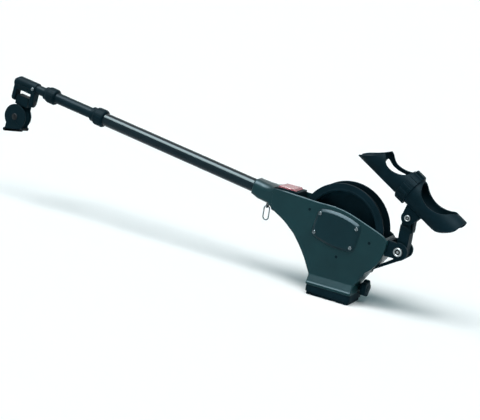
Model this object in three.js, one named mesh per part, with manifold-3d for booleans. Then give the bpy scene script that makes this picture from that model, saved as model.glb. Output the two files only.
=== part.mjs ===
// A hand-cranked downrigger: telescoping boom, line reel in a two-half frame, counter, swivel
// pulley head, slide-off base and a tilting rod holder. Millimetres, +Z up. The boom points to
// -X, the cover plate faces -Y and the crank is on the +Y side. The origin is the middle of the
// base's underside.
import * as THREE from 'three';
import { mergeVertices } from 'three/addons/utils/BufferGeometryUtils.js';
import Module from 'manifold-3d';

const wasm = await Module();
wasm.setup();

// Clearances that every fit uses
const fit = 0.3; // between two pieces that touch or turn in each other
const runningGap = 1.5; // beside the turning reel
const cutOver = 3; // how far a cut runs past the face that it opens

// Facet counts
const coarseSteps = 12;
const roundSteps = 24;
const fineSteps = 48;
const curveSteps = 2;
const wireSteps = 6;
const holderSteps = 30;

// Line reel: two halves, each a flange with a recessed web and half of the line drum
const reelRadius = 101;
const reelWidth = 47;
const rimWall = 5;
const rimDepth = 13;
const drumWall = 4;
const webWall = 4;
const ridgeRise = 0.6;
const hubRadius = 22;
const hubCollarRadius = 34;
const hubCollarWall = 4;
const hubReach = 14;

// Shaft, brake stack and ratchet
const shaftRadius = 6;
const bushWall = 3;
const bushFlangeRadius = 12;
const bushFlangeWall = 2.5;
const padRadius = 36;
const padWall = 3;
const ratchetRadius = 38;
const ratchetWall = 5;
const ratchetTooth = 4;
const ratchetTeeth = 18;
const toothCrestShare = 0.85;
const pressureRadius = 34;
const pawlRadius = 7;
const pawlPinRadius = 3;
const pawlPinHeadRadius = 5.5;
const pinHeadWall = 2;
const pawlSpan = 23;
const pawlPlace = 118; // degrees round the shaft

// Crank on the far side
const crankLength = 120;
const crankWall = 8;
const crankGap = 1.5;
const crankBossRadius = 12;
const crankHubRadius = 20;
const crankEndRadius = 11;
const gripRadius = 15;
const gripWaistRadius = 11;
const gripLength = 84;
const gripShares = [0.2, 0.55, 0.85]; // swell, waist and swell along the grip
const gripPinRadius = 4;
const gripHeadRadius = 8;
const gripHeadWall = 3;
const clutchKnobRadius = 27;
const clutchKnobWall = 16;
const clutchLobes = 8;
const clutchLobeDepth = 3;

// Frame: a near and a far half round the reel, each with its half of the foot
const plateWall = 4;
const edgeWall = 4;
const socketWall = 4.5;
const socketLength = 58;
const bossRadius = 6;
const frameScrewRadius = 2.5;
const screwHeadRadius = 5;
const screwHeadWall = 2.5;
const rivetHoleRadius = 2;
const frontScrewGap = 18.4; // from the reel's rim to the front screw
const rearScrewShares = [0.68, -0.87];

// Foot and base
const baseMargin = 9; // by which the foot is longer than the reel's radius
const baseLength = reelRadius + baseMargin;
const baseDepth = 76;
const baseHeight = 23;
const baseCorner = 8;
const baseEdge = 3;
const footHeight = 20.7;
const footRoof = 6;
const footFlareDrop = 10;
const footEnd = 5;
const reelLift = 21;
const railHeight = 17.5;
const railHalfNeck = 20;
const railHalfHead = 25;
const boltHoleRadius = 3.5;
const boltInset = 13;
const boltInsetAcross = 8;
const notchWidth = 9;
const notchDepth = 2;
const notchCount = 5;
const lockStudRadius = 3;
const lockCollarRadius = 8;
const lockAside = 16;
const lockRise = 13;
const lockStudGrip = 16;
const lockKnobRadius = 20;
const lockKnobWall = 13;
const lockKnobLobes = 5;
const lockKnobLobeDepth = 3.5;
const lockKnobNeck = 7;

// Cover plate on the near side
const coverHalfLength = 55;
const coverHalfHeight = 31;
const coverEdgeShares = [-1, -0.5, 0, 0.5, 1];
const coverSetback = 6.8; // its middle, ahead of the shaft and below it
const coverDrop = 5.5;
const coverBulge = 9;
const coverWall = 6;
const coverRim = 6;
const coverPocket = 3;
const coverPitch = 9;
const coverScrewAlong = 46;
const coverScrewAcross = 23;
const coverScrewRadius = 2;
const coverHeadRadius = 4.2;
const coverHeadWall = 1.8;

// Line counter between the plates, just behind the socket
const counterGap = 13;
const counterLength = 58;
const counterHeight = 33;
const counterWall = 3;
const counterRise = 3.5;
const digitRadius = 10.4;
const digitWidth = 8;
const digitGap = 1;
const counterWheelRadius = 11.4;
const rollerRadius = 13;
const rollerWidth = 2.7;
const rollerAxleRadius = 2.5;
const rollerEarRadius = 7;
const counterAngle = 16.4;
const lensHeight = 4.5;
const lensMargin = 4;

// Boom: three tubes, two lock collars
const boomPitch = 8.7;
const socketRise = 38.3;
const tubeWall = 1.6;
const socketFloorShares = [[0.75, 1], [0.3, 1], [0, 0.8]];
const outerTubeRadius = 15.875;
const midTubeRadius = 13.5;
const innerTubeRadius = 11.75;
const tubeSeat = 55;
const outerTubeReach = 452;
const midTubeShow = 148;
const innerTubeShow = 88;
const midTubeReach = outerTubeReach + midTubeShow;
const innerTubeReach = midTubeReach + innerTubeShow;
const midTubeInner = 60;
const innerTubeInner = 140;
const guideBushWall = 4;
const guideBushLength = 8;
const rearCollarRadius = 21.5;
const rearNoseRadius = 17.8;
const rearCollarGrip = 18;
const rearNoseLength = 12;
const frontCollarRadius = 19.5;
const frontNoseRadius = 16.5;
const frontCollarGrip = 17;
const frontNoseLength = 9;
const collarChamfer = 3;
const collarLug = 3;
const collarLugWidth = 8;

// Swivel head on the boom's tip
const yokeGrip = 44;
const yokeStart = innerTubeReach - yokeGrip;
const yokeLength = 66;
const yokeRadius = 14.6;
const yokeBelly = 17;
const yokeHalfWidth = 11;
const yokeNose = 8;
const yokeRearLeg = 12;
const yokeFrontLeg = 10.5;
const legHalfWidth = 11;
const swivelDrop = 38.5;
const swivelPinRadius = 4;
const swivelHeadRadius = 6.5;
const swivelHeadWall = 2.5;
const yokeScrewRadius = 2.5;
const yokeScrewHeadRadius = 4;

// Pulley block under the head
const pulleyDrop = 47.5;
const pulleyForward = 5.5;
const pulleyRadius = 29.5;
const pulleyWidth = 16;
const pulleyGroove = 7;
const pulleyHubRadius = 12;
const pulleyWeb = 6;
const pulleyAxleRadius = 5;
const axleHeadRadius = 8;
const axleHeadWall = 1.6;
const cheekRadius = 32;
const cheekWall = 4.5;
const cheekGap = 1.5;
const blockNeckHalfWidth = 8;
const blockNeckHalfLength = 18.5;
const blockNeckTop = 8.5;
const skirtRear = 27;
const skirtFront = 22;
const skirtRearDrop = 31;
const skirtFrontDrop = 46;
const guardPinRadius = 2.8;
const guardLobeRadius = 5;

// Eye and ring under the socket
const eyeWire = 1.9;
const eyeRadius = 5;
const eyeStud = 3;
const eyeReach = 35;
const eyeDrop = 11;
const ringWire = 1.5;
const ringHalfWidth = 7;
const ringHeight = 33;

// Rear bracket, arm and rod holder
const earRadius = 20;
const earTopShare = 0.95; // shares of the ear's radius
const earFloorShare = 0.86;
const barHalfShare = 0.8;
const barTopShare = 0.5;
const ribTipShares = [[0.53, -0.85], [-0.25, -0.86]];
const earWall = 7;
const bracketReach = 26.5;
const bracketDrop = 18.6;
const bracketWeb = 4.5;
const ribWall = 2;
const ribHalf = 7;
const armHalfWidth = 14;
const armFootRadius = 16;
const armHeelShare = 0.8;
const armFront = 9.5;
const armRear = 15.5;
const armShoulder = 58;
const armLength = 78.1;
const armLean = 3.9;
const tongueRadius = 14;
const bracketBoltRadius = 6;
const bracketHeadRadius = 10;
const bracketHeadWall = 6;
const upperBoltRadius = 4;
const upperHeadRadius = 7;
const upperHeadWall = 4;
const holderPitch = 31.4;
const holderRadius = 32;
const holderWall = 3.5;
const holderFrontReach = 132;
const holderRearReach = 141;
const holderBoltSetback = 44.6;
const holderBoltDrop = 17;
const cheekPlate = 5.5;
const saddleRadius = 16;
const saddleFront = 22;
const saddleRear = 20;
const saddleTopShare = 0.7;
const holderRingWall = 3;
const holderRingRib = 1.5;
const holderRingLength = 24;
const holderRingRibs = 18;
const ringRibShares = [[0, 0], [0.15, 1], [0.5, 1], [0.65, 0]];
const holderLugRise = 2;
const holderLugWidth = 12;

// Outline of the frame round the reel, in shares of the reel's radius from its centre
const topEdgeShares = [[-1.66, 0.525], [-1.287, 0.5], [-1.05, 0.485], [-0.594, 0.459],
  [-0.178, 0.452], [0.178, 0.389], [0.55, 0.264], [0.94, 0.126], [1.063, 0.065]];
const rearEdgeShares = [[1.139, -0.02], [1.099, -0.31], [1.03, -0.5], [0.891, -0.708], [0.758, -0.83]];
const frontEdgeShares = [[-0.634, -1.04], [-0.728, -0.861], [-0.883, -0.634], [-1.07, -0.406],
  [-1.168, -0.321], [-1.347, -0.178], [-1.505, -0.084], [-1.718, 0.03]];
const rivetShares = [[-0.772, 0.25], [0.739, -0.146], [0.039, -0.644]];

// Side view of the rod holder, in shares of its radius: along the tube from the ring, and up
const frontEndShares = [[4.09, -1], [3.99, -0.74], [3.38, -0.34], [2.99, -0.02], [2.72, 0.5]];
const frontScoopShares = [[2.5, 0.44], [2.06, 0.2], [1.56, 0.22], [1, 0.41], [0.6, 0.72], [0.5, 1]];
const rearScoopShares = [[-0.53, 1], [-0.76, 0.74], [-1.16, 0.4], [-1.87, 0.2], [-2.53, 0.3],
  [-3.03, 0.57], [-3.35, 0.86], [-3.6, 1]];
const rearEndShares = [[-4.41, 1], [-4.35, 0.3], [-3.78, -0.47], [-3.28, -0.85], [-2.72, -1]];
const windowShares = [[2.66, 0.08], [2.06, -0.14], [1.45, -0.08], [0.86, 0.14], [0.9, -0.26],
  [1.4, -0.52], [2, -0.6], [2.62, -0.42]];

// Places that follow from the sizes above
const footTop = baseHeight + fit + footHeight;
const reelX = 0;
const reelZ = footTop + reelLift + reelRadius;
const reelHalf = reelWidth / 2;
const frameHalf = reelHalf + runningGap + plateWall;
const innerHalf = frameHalf - plateWall;
const drumRadius = reelRadius - rimDepth;
const socketHalf = outerTubeRadius + fit + socketWall;
const socketX = reelX - reelRadius - counterGap - counterLength - socketLength;
const socketZ = reelZ + socketRise;
const boomAngle = THREE.MathUtils.degToRad(boomPitch);
const holderAngle = THREE.MathUtils.degToRad(holderPitch);
const leanAngle = THREE.MathUtils.degToRad(armLean);
const footHalf = baseLength / 2;
const rearX = reelX + reelRadius * rearEdgeShares[0][0];
const bracketX = rearX + bracketReach;
const bracketZ = reelZ - bracketDrop;
const upperX = bracketX + armLength * Math.sin(leanAngle);
const upperZ = bracketZ + armLength * Math.cos(leanAngle);

const finish = (color, roughness, metalness) => new THREE.MeshStandardMaterial({ color, roughness,
  metalness });
const framePlastic = finish(0x20383c, 0.5, 0);
const blackPlastic = finish(0x10191c, 0.45, 0);
const glossTube = finish(0x0b1214, 0.2, 0.4);
const chrome = finish(0xc9d6d8, 0.2, 1);
const steel = finish(0x8b9294, 0.35, 1);
const bronze = finish(0xa87f46, 0.4, 1);
const friction = finish(0x5b4334, 0.9, 0);
const rubber = finish(0x15181a, 0.8, 0);
const redLens = finish(0xb84a52, 0.1, 0);
const paleDigit = finish(0xe8e6de, 0.5, 0);

// A geometry as a solid: shared corners merged, slivers dropped, faces turned outwards
function solid(geometry) {
  const bare = geometry.index ? geometry.toNonIndexed() : geometry.clone();
  bare.deleteAttribute('normal');
  bare.deleteAttribute('uv');
  const merged = mergeVertices(bare);
  const place = merged.attributes.position;
  const kept = [];
  let volume = 0;
  const a = new THREE.Vector3();
  const b = new THREE.Vector3();
  const c = new THREE.Vector3();
  for (let i = 0; i < merged.index.count; i += 3) {
    const corners = [0, 1, 2].map((step) => merged.index.getX(i + step));
    if (new Set(corners).size < 3) continue;
    a.fromBufferAttribute(place, corners[0]);
    b.fromBufferAttribute(place, corners[1]);
    c.fromBufferAttribute(place, corners[2]);
    volume += a.dot(b.cross(c));
    kept.push(corners);
  }
  const triVerts = kept.flatMap(([p, q, r]) => (volume > 0 ? [p, q, r] : [p, r, q]));
  const vertProperties = new Float32Array(place.array);
  return new wasm.Manifold(new wasm.Mesh({ numProp: 3, vertProperties,
    triVerts: new Uint32Array(triVerts) }));
}

const joined = (first, ...rest) => rest.reduce((whole, part) => whole.add(part), first);
const cut = (first, ...rest) => rest.reduce((whole, part) => whole.subtract(part), first);

// A solid as a mesh geometry with flat faces
function meshed(body) {
  const { vertProperties, triVerts, numProp } = body.getMesh();
  const geometry = new THREE.BufferGeometry();
  const place = new Float32Array(triVerts.length * 3);
  triVerts.forEach((corner, i) => {
    for (let axis = 0; axis < 3; axis += 1) place[i * 3 + axis] = vertProperties[corner * numProp + axis];
  });
  geometry.setAttribute('position', new THREE.BufferAttribute(place, 3));
  geometry.computeVertexNormals();
  return geometry;
}

// Extrusions of a flat outline. Across Y the outline is x and z, along X it is y and z.
function prism(outline, low, high, right, up, out) {
  const shape = new THREE.Shape(outline.map(([u, v]) => new THREE.Vector2(u, v)));
  const geometry = new THREE.ExtrudeGeometry(shape, { depth: high - low, bevelEnabled: false });
  geometry.applyMatrix4(new THREE.Matrix4().makeBasis(right, up, out));
  return geometry;
}
const axisX = new THREE.Vector3(1, 0, 0);
const axisY = new THREE.Vector3(0, 1, 0);
const axisZ = new THREE.Vector3(0, 0, 1);
const minusY = new THREE.Vector3(0, -1, 0);
const acrossY = (outline, low, high) => solid(prism(outline, low, high, axisX, axisZ, minusY).translate(0,
  high, 0));
const alongX = (outline, low, high) => solid(prism(outline, low, high, axisY, axisZ, axisX).translate(low,
  0, 0));
const upZ = (outline, low, high) => solid(prism(outline, low, high, axisX, axisY, axisZ).translate(0, 0,
  low));

// Round pieces from a closed profile of [radius, place on the axis]
function turned(profile, steps) {
  const points = [...profile, profile[0]].map(([r, s]) => new THREE.Vector2(r, s));
  return new THREE.LatheGeometry(points, steps);
}
const turnedY = (profile, x, z, steps = roundSteps) => solid(turned(profile, steps).translate(x, 0, z));
const turnedX = (profile, steps = roundSteps) => solid(turned(profile, steps).rotateZ(Math.PI / 2));

const rodY = (radius, low, high, x, z, steps = coarseSteps) => solid(
  new THREE.CylinderGeometry(radius, radius, high - low, steps).translate(x, (low + high) / 2, z));
const rodX = (radius, low, high, y, z, steps = coarseSteps) => solid(
  new THREE.CylinderGeometry(radius, radius, high - low,
    steps).rotateZ(Math.PI / 2).translate((low + high) / 2, y, z));
const rodZ = (radius, low, high, x, y, steps = coarseSteps) => solid(
  new THREE.CylinderGeometry(radius, radius, high - low, steps).rotateX(Math.PI / 2).translate(x, y,
    (low + high) / 2));
const block = (x0, x1, y0, y1, z0, z1) => solid(
  new THREE.BoxGeometry(x1 - x0, y1 - y0, z1 - z0).translate((x0 + x1) / 2, (y0 + y1) / 2, (z0 + z1) / 2));

// A smooth line through chosen points
function smooth(points, steps = curveSteps) {
  const curve = new THREE.CatmullRomCurve3(points.map(([u, v]) => new THREE.Vector3(u, v, 0)), false,
    'centripetal');
  return curve.getPoints(steps * (points.length - 1)).map((p) => [p.x, p.y]);
}

// An outline moved inwards by a distance, or outwards by a negative one
function inset(outline, distance) {
  const area = outline.reduce((sum, [x, y], i) => {
    const [u, v] = outline[(i + 1) % outline.length];
    return sum + x * v - u * y;
  }, 0);
  const turn = Math.sign(area);
  return outline.map(([x, y], i) => {
    const before = outline[(i + outline.length - 1) % outline.length];
    const after = outline[(i + 1) % outline.length];
    const back = new THREE.Vector2(x - before[0], y - before[1]).normalize();
    const ahead = new THREE.Vector2(after[0] - x, after[1] - y).normalize();
    const bisector = new THREE.Vector2(-back.y - ahead.y, back.x + ahead.x).normalize();
    const spread = bisector.x * -back.y + bisector.y * back.x;
    const step = (turn * distance) / Math.max(spread, 0.5);
    return [x + bisector.x * step, y + bisector.y * step];
  });
}

// A star or lobed outline round a centre
function lobed(radius, depth, lobes, steps) {
  return Array.from({ length: steps }, (_, i) => {
    const angle = (i / steps) * 2 * Math.PI;
    const reach = radius - (depth * (1 - Math.cos(lobes * angle))) / 2;
    return [reach * Math.cos(angle), reach * Math.sin(angle)];
  });
}
const moved = (outline, x, y) => outline.map(([u, v]) => [u + x, v + y]);

const downrigger = new THREE.Group();
downrigger.name = 'downrigger';

// The boom's own frame: s runs outwards along its axis from the socket's mouth, and is -x
const boom = new THREE.Group();
boom.position.set(socketX, 0, socketZ);
boom.rotation.y = boomAngle;
downrigger.add(boom);

// The rod holder's own frame: its ring's centre, with the tube along x and its front at -x
const boltRadiusFromAxis = holderRadius + holderBoltDrop;
const holder = new THREE.Group();
const [along, across] = [Math.cos(holderAngle), Math.sin(holderAngle)];
const ringX = upperX - holderBoltSetback * along + boltRadiusFromAxis * across;
const ringZ = upperZ + holderBoltSetback * across + boltRadiusFromAxis * along;
holder.position.set(ringX, 0, ringZ);
holder.rotation.y = holderAngle;
downrigger.add(holder);

function add(name, body, material, group = downrigger) {
  const mesh = new THREE.Mesh(meshed(body), material);
  mesh.name = name;
  group.add(mesh);
  return mesh;
}

// A point of the boom's frame in the part's frame, as [x, z]
function boomPoint(s, n) {
  return [
    socketX - s * Math.cos(boomAngle) + n * Math.sin(boomAngle),
    socketZ + s * Math.sin(boomAngle) + n * Math.cos(boomAngle),
  ];
}
// A solid carried from the boom's frame to the part's frame, and one carried the other way
const fromBoom = (body) => solid(meshed(body).rotateY(boomAngle).translate(socketX, 0, socketZ));
const intoBoom = (body) => solid(meshed(body).translate(-socketX, 0, -socketZ).rotateY(-boomAngle));

// Frame outline in x and z
const aroundReel = (shares) => shares.map(([u, v]) => [reelX + u * reelRadius, reelZ + v * reelRadius]);
const socketTop = [boomPoint(0, socketHalf), boomPoint(-socketLength / 2, socketHalf)];
const socketBelow = socketFloorShares.map(([u, v]) => boomPoint(-socketLength * u, -socketHalf * v));
const frameOutline = [
  ...socketTop,
  ...smooth(aroundReel(topEdgeShares)),
  ...smooth(aroundReel(rearEdgeShares)),
  [reelX + footHalf, footTop],
  [reelX + footHalf, footTop - footRoof / 2],
  [reelX - footHalf, footTop - footRoof / 2],
  [reelX - footHalf, footTop],
  ...smooth(aroundReel(frontEdgeShares)),
  ...socketBelow,
];

const counterFront = reelX - reelRadius - counterGap - counterLength;
const counterBack = counterFront + counterLength;
const farAbove = reelZ + reelRadius * 2;
const counterHalf = innerHalf - fit;
const counterTop = reelZ + reelRadius * topEdgeShares[1][1] + counterRise;
const counterFloor = counterTop - counterHeight;
const contactRise = THREE.MathUtils.degToRad(counterAngle);
const rollerReach = reelRadius + rollerRadius + fit;
const wheelReach = rollerReach + rollerRadius + counterWheelRadius + fit;
const rollerX = reelX - rollerReach * Math.cos(contactRise);
const rollerZ = reelZ + rollerReach * Math.sin(contactRise);
const wheelX = reelX - wheelReach * Math.cos(contactRise);
const wheelZ = reelZ + wheelReach * Math.sin(contactRise);

const frameScrewPlaces = [
  [reelX - reelRadius - frontScrewGap, reelZ],
  [reelX + reelRadius * rearScrewShares[0], reelZ + reelRadius * rearScrewShares[1]],
];
const pawlAngle = THREE.MathUtils.degToRad(pawlPlace);
const pawlReach = ratchetRadius + pawlRadius + pawlPinRadius + cutOver;
const pawlX = reelX + pawlReach * Math.cos(pawlAngle);
const pawlZ = reelZ + pawlReach * Math.sin(pawlAngle);

const coverAngle = THREE.MathUtils.degToRad(-coverPitch);
const coverX = reelX - coverSetback;
const coverZ = reelZ - coverDrop;
const onCover = (u, v) => [
  coverX + u * Math.cos(coverAngle) - v * Math.sin(coverAngle),
  coverZ + u * Math.sin(coverAngle) + v * Math.cos(coverAngle),
];
const coverScrewPlaces = [[-1, 1], [1, 1], [-1, -1], [1, -1]].map(
  ([u, v]) => onCover(u * coverScrewAlong, v * coverScrewAcross));

// Where the foot's lock knob and its stud lie
const lockZ = baseHeight + lockRise;
const footWallInside = footHalf - footEnd;
const railEnd = footWallInside - fit;

// One half of the frame: side is -1 for the near half and 1 for the far half
function frameShell(side) {
  const span = (a, b) => [Math.min(side * a, side * b), Math.max(side * a, side * b)];
  const taperX = counterFront - fit;
  const frontX = socketX - socketHalf;
  const backX = rearX + cutOver;
  const plan = [[frontX, -side * cutOver], [frontX, side * socketHalf], [taperX, side * frameHalf],
    [backX, side * frameHalf], [backX, -side * cutOver]];
  const outer = acrossY(frameOutline, ...span(fit / 2, frameHalf + cutOver))
    .intersect(upZ(plan, footTop - footRoof, farAbove));
  const hollow = acrossY(inset(frameOutline, edgeWall), ...span(-cutOver, innerHalf))
    .intersect(block(taperX, backX, -frameHalf, frameHalf, footTop, farAbove));
  const rearWallX = rearX - edgeWall - cutOver;
  const mouth = block(taperX, rearWallX, ...span(-cutOver, innerHalf), reelZ, farAbove);
  const foot = footHalfShell(side);
  let shell = joined(cut(outer, hollow, mouth), foot);

  const bore = fromBoom(rodX(outerTubeRadius + fit, -cutOver * 2, tubeSeat + fit, 0, 0, roundSteps));
  const shaftHole = rodY(shaftRadius + bushWall + fit, ...span(innerHalf - cutOver, frameHalf + cutOver),
    reelX, reelZ, roundSteps);
  shell = cut(shell, bore, shaftHole);
  frameScrewPlaces.forEach(([x, z]) => {
    const boss = rodY(bossRadius, ...span(fit / 2, innerHalf + cutOver / 3), x, z);
    const hole = side < 0 ? span(-cutOver, innerHalf) : span(-cutOver, frameHalf + cutOver);
    shell = cut(shell.add(boss), rodY(frameScrewRadius + fit, ...hole, x, z));
  });
  if (side < 0) {
    coverScrewPlaces.forEach(([x, z]) => {
      shell = cut(shell, rodY(coverScrewRadius + fit, ...span(innerHalf - cutOver, frameHalf + cutOver),
        x, z));
    });
    aroundReel(rivetShares).forEach(([x, z]) => {
      shell = cut(shell, rodY(rivetHoleRadius, ...span(innerHalf - cutOver, frameHalf + cutOver), x, z));
    });
  } else {
    shell = cut(shell, rodY(pawlPinRadius + fit, ...span(innerHalf - cutOver, frameHalf + cutOver), pawlX,
      pawlZ));
  }
  const [eyeX] = boomPoint(-eyeReach, 0);
  return cut(shell, rodZ(eyeStud + fit, footTop, socketZ, eyeX, 0));
}

// Half of the foot: a flared skirt over the base with a dovetail channel for its rail
function footHalfShell(side) {
  const skirt = [
    [side * (fit / 2), footTop],
    [side * frameHalf, footTop],
    [side * (baseDepth / 2), footTop - footFlareDrop],
    [side * (baseDepth / 2), baseHeight + fit],
    [side * (railHalfNeck + fit), baseHeight + fit],
    [side * (railHalfHead + fit), baseHeight + railHeight + fit],
    [side * (fit / 2), baseHeight + railHeight + fit],
  ];
  const endWall = [
    [side * (fit / 2), footTop - footRoof / 2],
    [side * (frameHalf - cutOver), footTop - footRoof / 2],
    [side * (baseDepth / 2 - cutOver), baseHeight + fit],
    [side * (fit / 2), baseHeight + fit],
  ];
  const body = joined(alongX(skirt, reelX - footHalf, reelX + footHalf),
    alongX(endWall, reelX + footWallInside, reelX + footHalf));
  return cut(body, rodX(lockStudRadius + fit, reelX, reelX + footHalf + cutOver, lockAside, lockZ));
}

add('frame_near_half', frameShell(-1), framePlastic);
add('frame_far_half', frameShell(1), framePlastic);
frameScrewPlaces.forEach(([x, z], i) => {
  const screw = joined(rodY(frameScrewRadius, -innerHalf + cutOver, frameHalf + fit * 2, x, z),
    rodY(screwHeadRadius, frameHalf + fit, frameHalf + fit + screwHeadWall, x, z));
  add(`frame_screw_${i + 1}`, screw, steel);
});

// Base: a block with a dovetail rail, four bolt holes and drain notches along its lower edge
function roundedPlan(halfLength, halfDepth, corner) {
  const shape = new THREE.Shape();
  shape.moveTo(-halfLength + corner, -halfDepth);
  shape.lineTo(halfLength - corner, -halfDepth);
  shape.absarc(halfLength - corner, -halfDepth + corner, corner, -Math.PI / 2, 0, false);
  shape.absarc(halfLength - corner, halfDepth - corner, corner, 0, Math.PI / 2, false);
  shape.absarc(-halfLength + corner, halfDepth - corner, corner, Math.PI / 2, Math.PI, false);
  shape.absarc(-halfLength + corner, -halfDepth + corner, corner, Math.PI, Math.PI * 1.5, false);
  return shape.extractPoints(coarseSteps / 4).shape.map((p) => [p.x, p.y]);
}
function baseBlock() {
  const plan = roundedPlan(baseLength / 2, baseDepth / 2, baseCorner);
  const lower = upZ(moved(inset(plan, baseEdge), reelX, 0), 0, baseHeight / 2);
  const upper = upZ(moved(plan, reelX, 0), baseHeight / 3, baseHeight);
  const rail = alongX([[-railHalfNeck, baseHeight - cutOver], [-railHalfNeck, baseHeight],
    [-railHalfHead, baseHeight + railHeight], [railHalfHead, baseHeight + railHeight],
    [railHalfNeck, baseHeight], [railHalfNeck, baseHeight - cutOver]],
  reelX - footHalf + footEnd, reelX + railEnd);
  let body = joined(lower, upper, rail);
  body = cut(body, rodX(lockStudRadius + fit, reelX + railEnd - lockStudGrip, reelX + railEnd + cutOver,
    lockAside, lockZ));
  [[-1, -1], [1, -1], [-1, 1], [1, 1]].forEach(([u, v]) => {
    const x = reelX + u * (footHalf - boltInset);
    const y = v * (baseDepth / 2 - boltInsetAcross);
    body = cut(body, rodZ(boltHoleRadius, -cutOver, baseHeight + cutOver, x, y));
  });
  const pitch = (baseLength - baseCorner * 2) / notchCount;
  for (let i = 0; i < notchCount; i += 1) {
    const x = reelX + pitch * (i - (notchCount - 1) / 2);
    const depth = baseDepth / 2 + cutOver;
    body = cut(body, block(x - notchWidth / 2, x + notchWidth / 2, -depth, -depth + cutOver * 3, -cutOver,
      notchDepth));
    body = cut(body, block(x - notchWidth / 2, x + notchWidth / 2, depth - cutOver * 3, depth, -cutOver,
      notchDepth));
  }
  return body;
}
add('mounting_base', baseBlock(), blackPlastic);

const lockFace = reelX + footHalf + fit;
const lockOutline = moved(lobed(lockKnobRadius, lockKnobLobeDepth, lockKnobLobes, roundSteps),
  lockAside, lockZ);
add('base_lock_knob', joined(
  alongX(lockOutline, lockFace + lockKnobNeck, lockFace + lockKnobNeck + lockKnobWall),
  rodX(lockCollarRadius, lockFace, lockFace + lockKnobNeck + cutOver, lockAside, lockZ),
  rodX(lockStudRadius, reelX + railEnd - lockStudGrip + cutOver, lockFace + cutOver, lockAside, lockZ),
), blackPlastic);

// Cover plate and its screws
function coverOutline(shrink) {
  const halfLength = coverHalfLength - shrink;
  const halfHeight = coverHalfHeight - shrink;
  const edge = (side) => smooth(coverEdgeShares.map(
    (u) => [u * halfLength * side, side * (halfHeight + coverBulge * (1 - u * u))]));
  return [...edge(1).reverse(), ...edge(-1).reverse()].map(([u, v]) => onCover(u, v));
}
const coverFace = -frameHalf - fit;
const coverBody = joined(acrossY(coverOutline(0), coverFace - coverWall / 2, coverFace),
  acrossY(coverOutline(coverRim / 3), coverFace - coverWall, coverFace - coverWall / 3));
const coverHollow = acrossY(coverOutline(coverRim), coverFace - coverPocket, coverFace + cutOver);
const coverBosses = coverScrewPlaces.map(
  ([x, z]) => rodY(coverHeadRadius, coverFace - coverPocket - cutOver / 3, coverFace, x, z));
let coverPlate = joined(cut(coverBody, coverHollow),
  ...coverBosses.map((boss) => boss.intersect(coverBody)));
coverScrewPlaces.forEach(([x, z], i) => {
  coverPlate = cut(coverPlate, rodY(coverScrewRadius + fit, coverFace - coverWall - cutOver,
    coverFace + cutOver, x, z));
  const headFace = coverFace - coverWall - fit;
  const screw = joined(rodY(coverScrewRadius, headFace - fit, -innerHalf - fit, x, z),
    rodY(coverHeadRadius, headFace - coverHeadWall, headFace, x, z));
  add(`cover_screw_${i + 1}`, screw, chrome);
});
add('cover_plate', coverPlate, framePlastic);

// Reel halves, hub and bush
const webFace = fit / 2 + webWall;
function reelHalfProfile(side) {
  const inner = hubRadius + fit;
  const lip = drumRadius - drumWall;
  return [[inner, fit / 2], [drumRadius, fit / 2], [drumRadius, reelHalf - rimWall],
    [reelRadius, reelHalf - rimWall],
    [reelRadius, reelHalf], [drumRadius, reelHalf], [drumRadius - drumWall / 4, reelHalf + ridgeRise],
    [lip, reelHalf + ridgeRise], [lip, webFace], [inner, webFace]].map(([r, y]) => [r, side * y]);
}
add('reel_near_half', turnedY(reelHalfProfile(-1), reelX, reelZ, fineSteps), blackPlastic);
add('reel_far_half', turnedY(reelHalfProfile(1), reelX, reelZ, fineSteps), blackPlastic);
const hubBore = shaftRadius + bushWall;
const padBack = webFace + fit + padWall;
const hubCollar = webFace + fit;
add('reel_hub', turnedY([[hubBore + fit, -hubReach], [hubRadius, -hubReach],
  [hubRadius, -hubCollar - hubCollarWall],
  [hubCollarRadius, -hubCollar - hubCollarWall], [hubCollarRadius, -hubCollar], [hubRadius, -hubCollar],
  [hubRadius, padBack - fit], [hubBore + fit, padBack - fit]], reelX, reelZ), steel);
add('hub_bush', turnedY([[shaftRadius + fit, -hubReach], [hubBore, -hubReach], [hubBore, padBack - fit],
  [shaftRadius + fit, padBack - fit]], reelX, reelZ), bronze);

// Shaft, its two bushes and the brake stack on it
const crankFace = Math.max(frameHalf, baseDepth / 2) + crankGap;
const shaftEnd = crankFace + crankWall + clutchKnobWall;
add('main_shaft', rodY(shaftRadius, -frameHalf, shaftEnd - cutOver, reelX, reelZ, roundSteps), steel);
function shaftBush(side) {
  return turnedY([[shaftRadius + fit, innerHalf - fit - bushFlangeWall],
    [bushFlangeRadius, innerHalf - fit - bushFlangeWall],
    [bushFlangeRadius, innerHalf - fit], [hubBore, innerHalf - fit], [hubBore, frameHalf - fit],
    [shaftRadius + fit, frameHalf - fit]].map(([r, y]) => [r, side * y]), reelX, reelZ);
}
add('near_shaft_bush', shaftBush(-1), bronze);
add('far_shaft_bush', shaftBush(1), bronze);
add('brake_pad', turnedY([[hubRadius + fit, webFace + fit], [padRadius, webFace + fit],
  [padRadius, padBack],
  [hubRadius + fit, padBack]], reelX, reelZ), friction);

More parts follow.
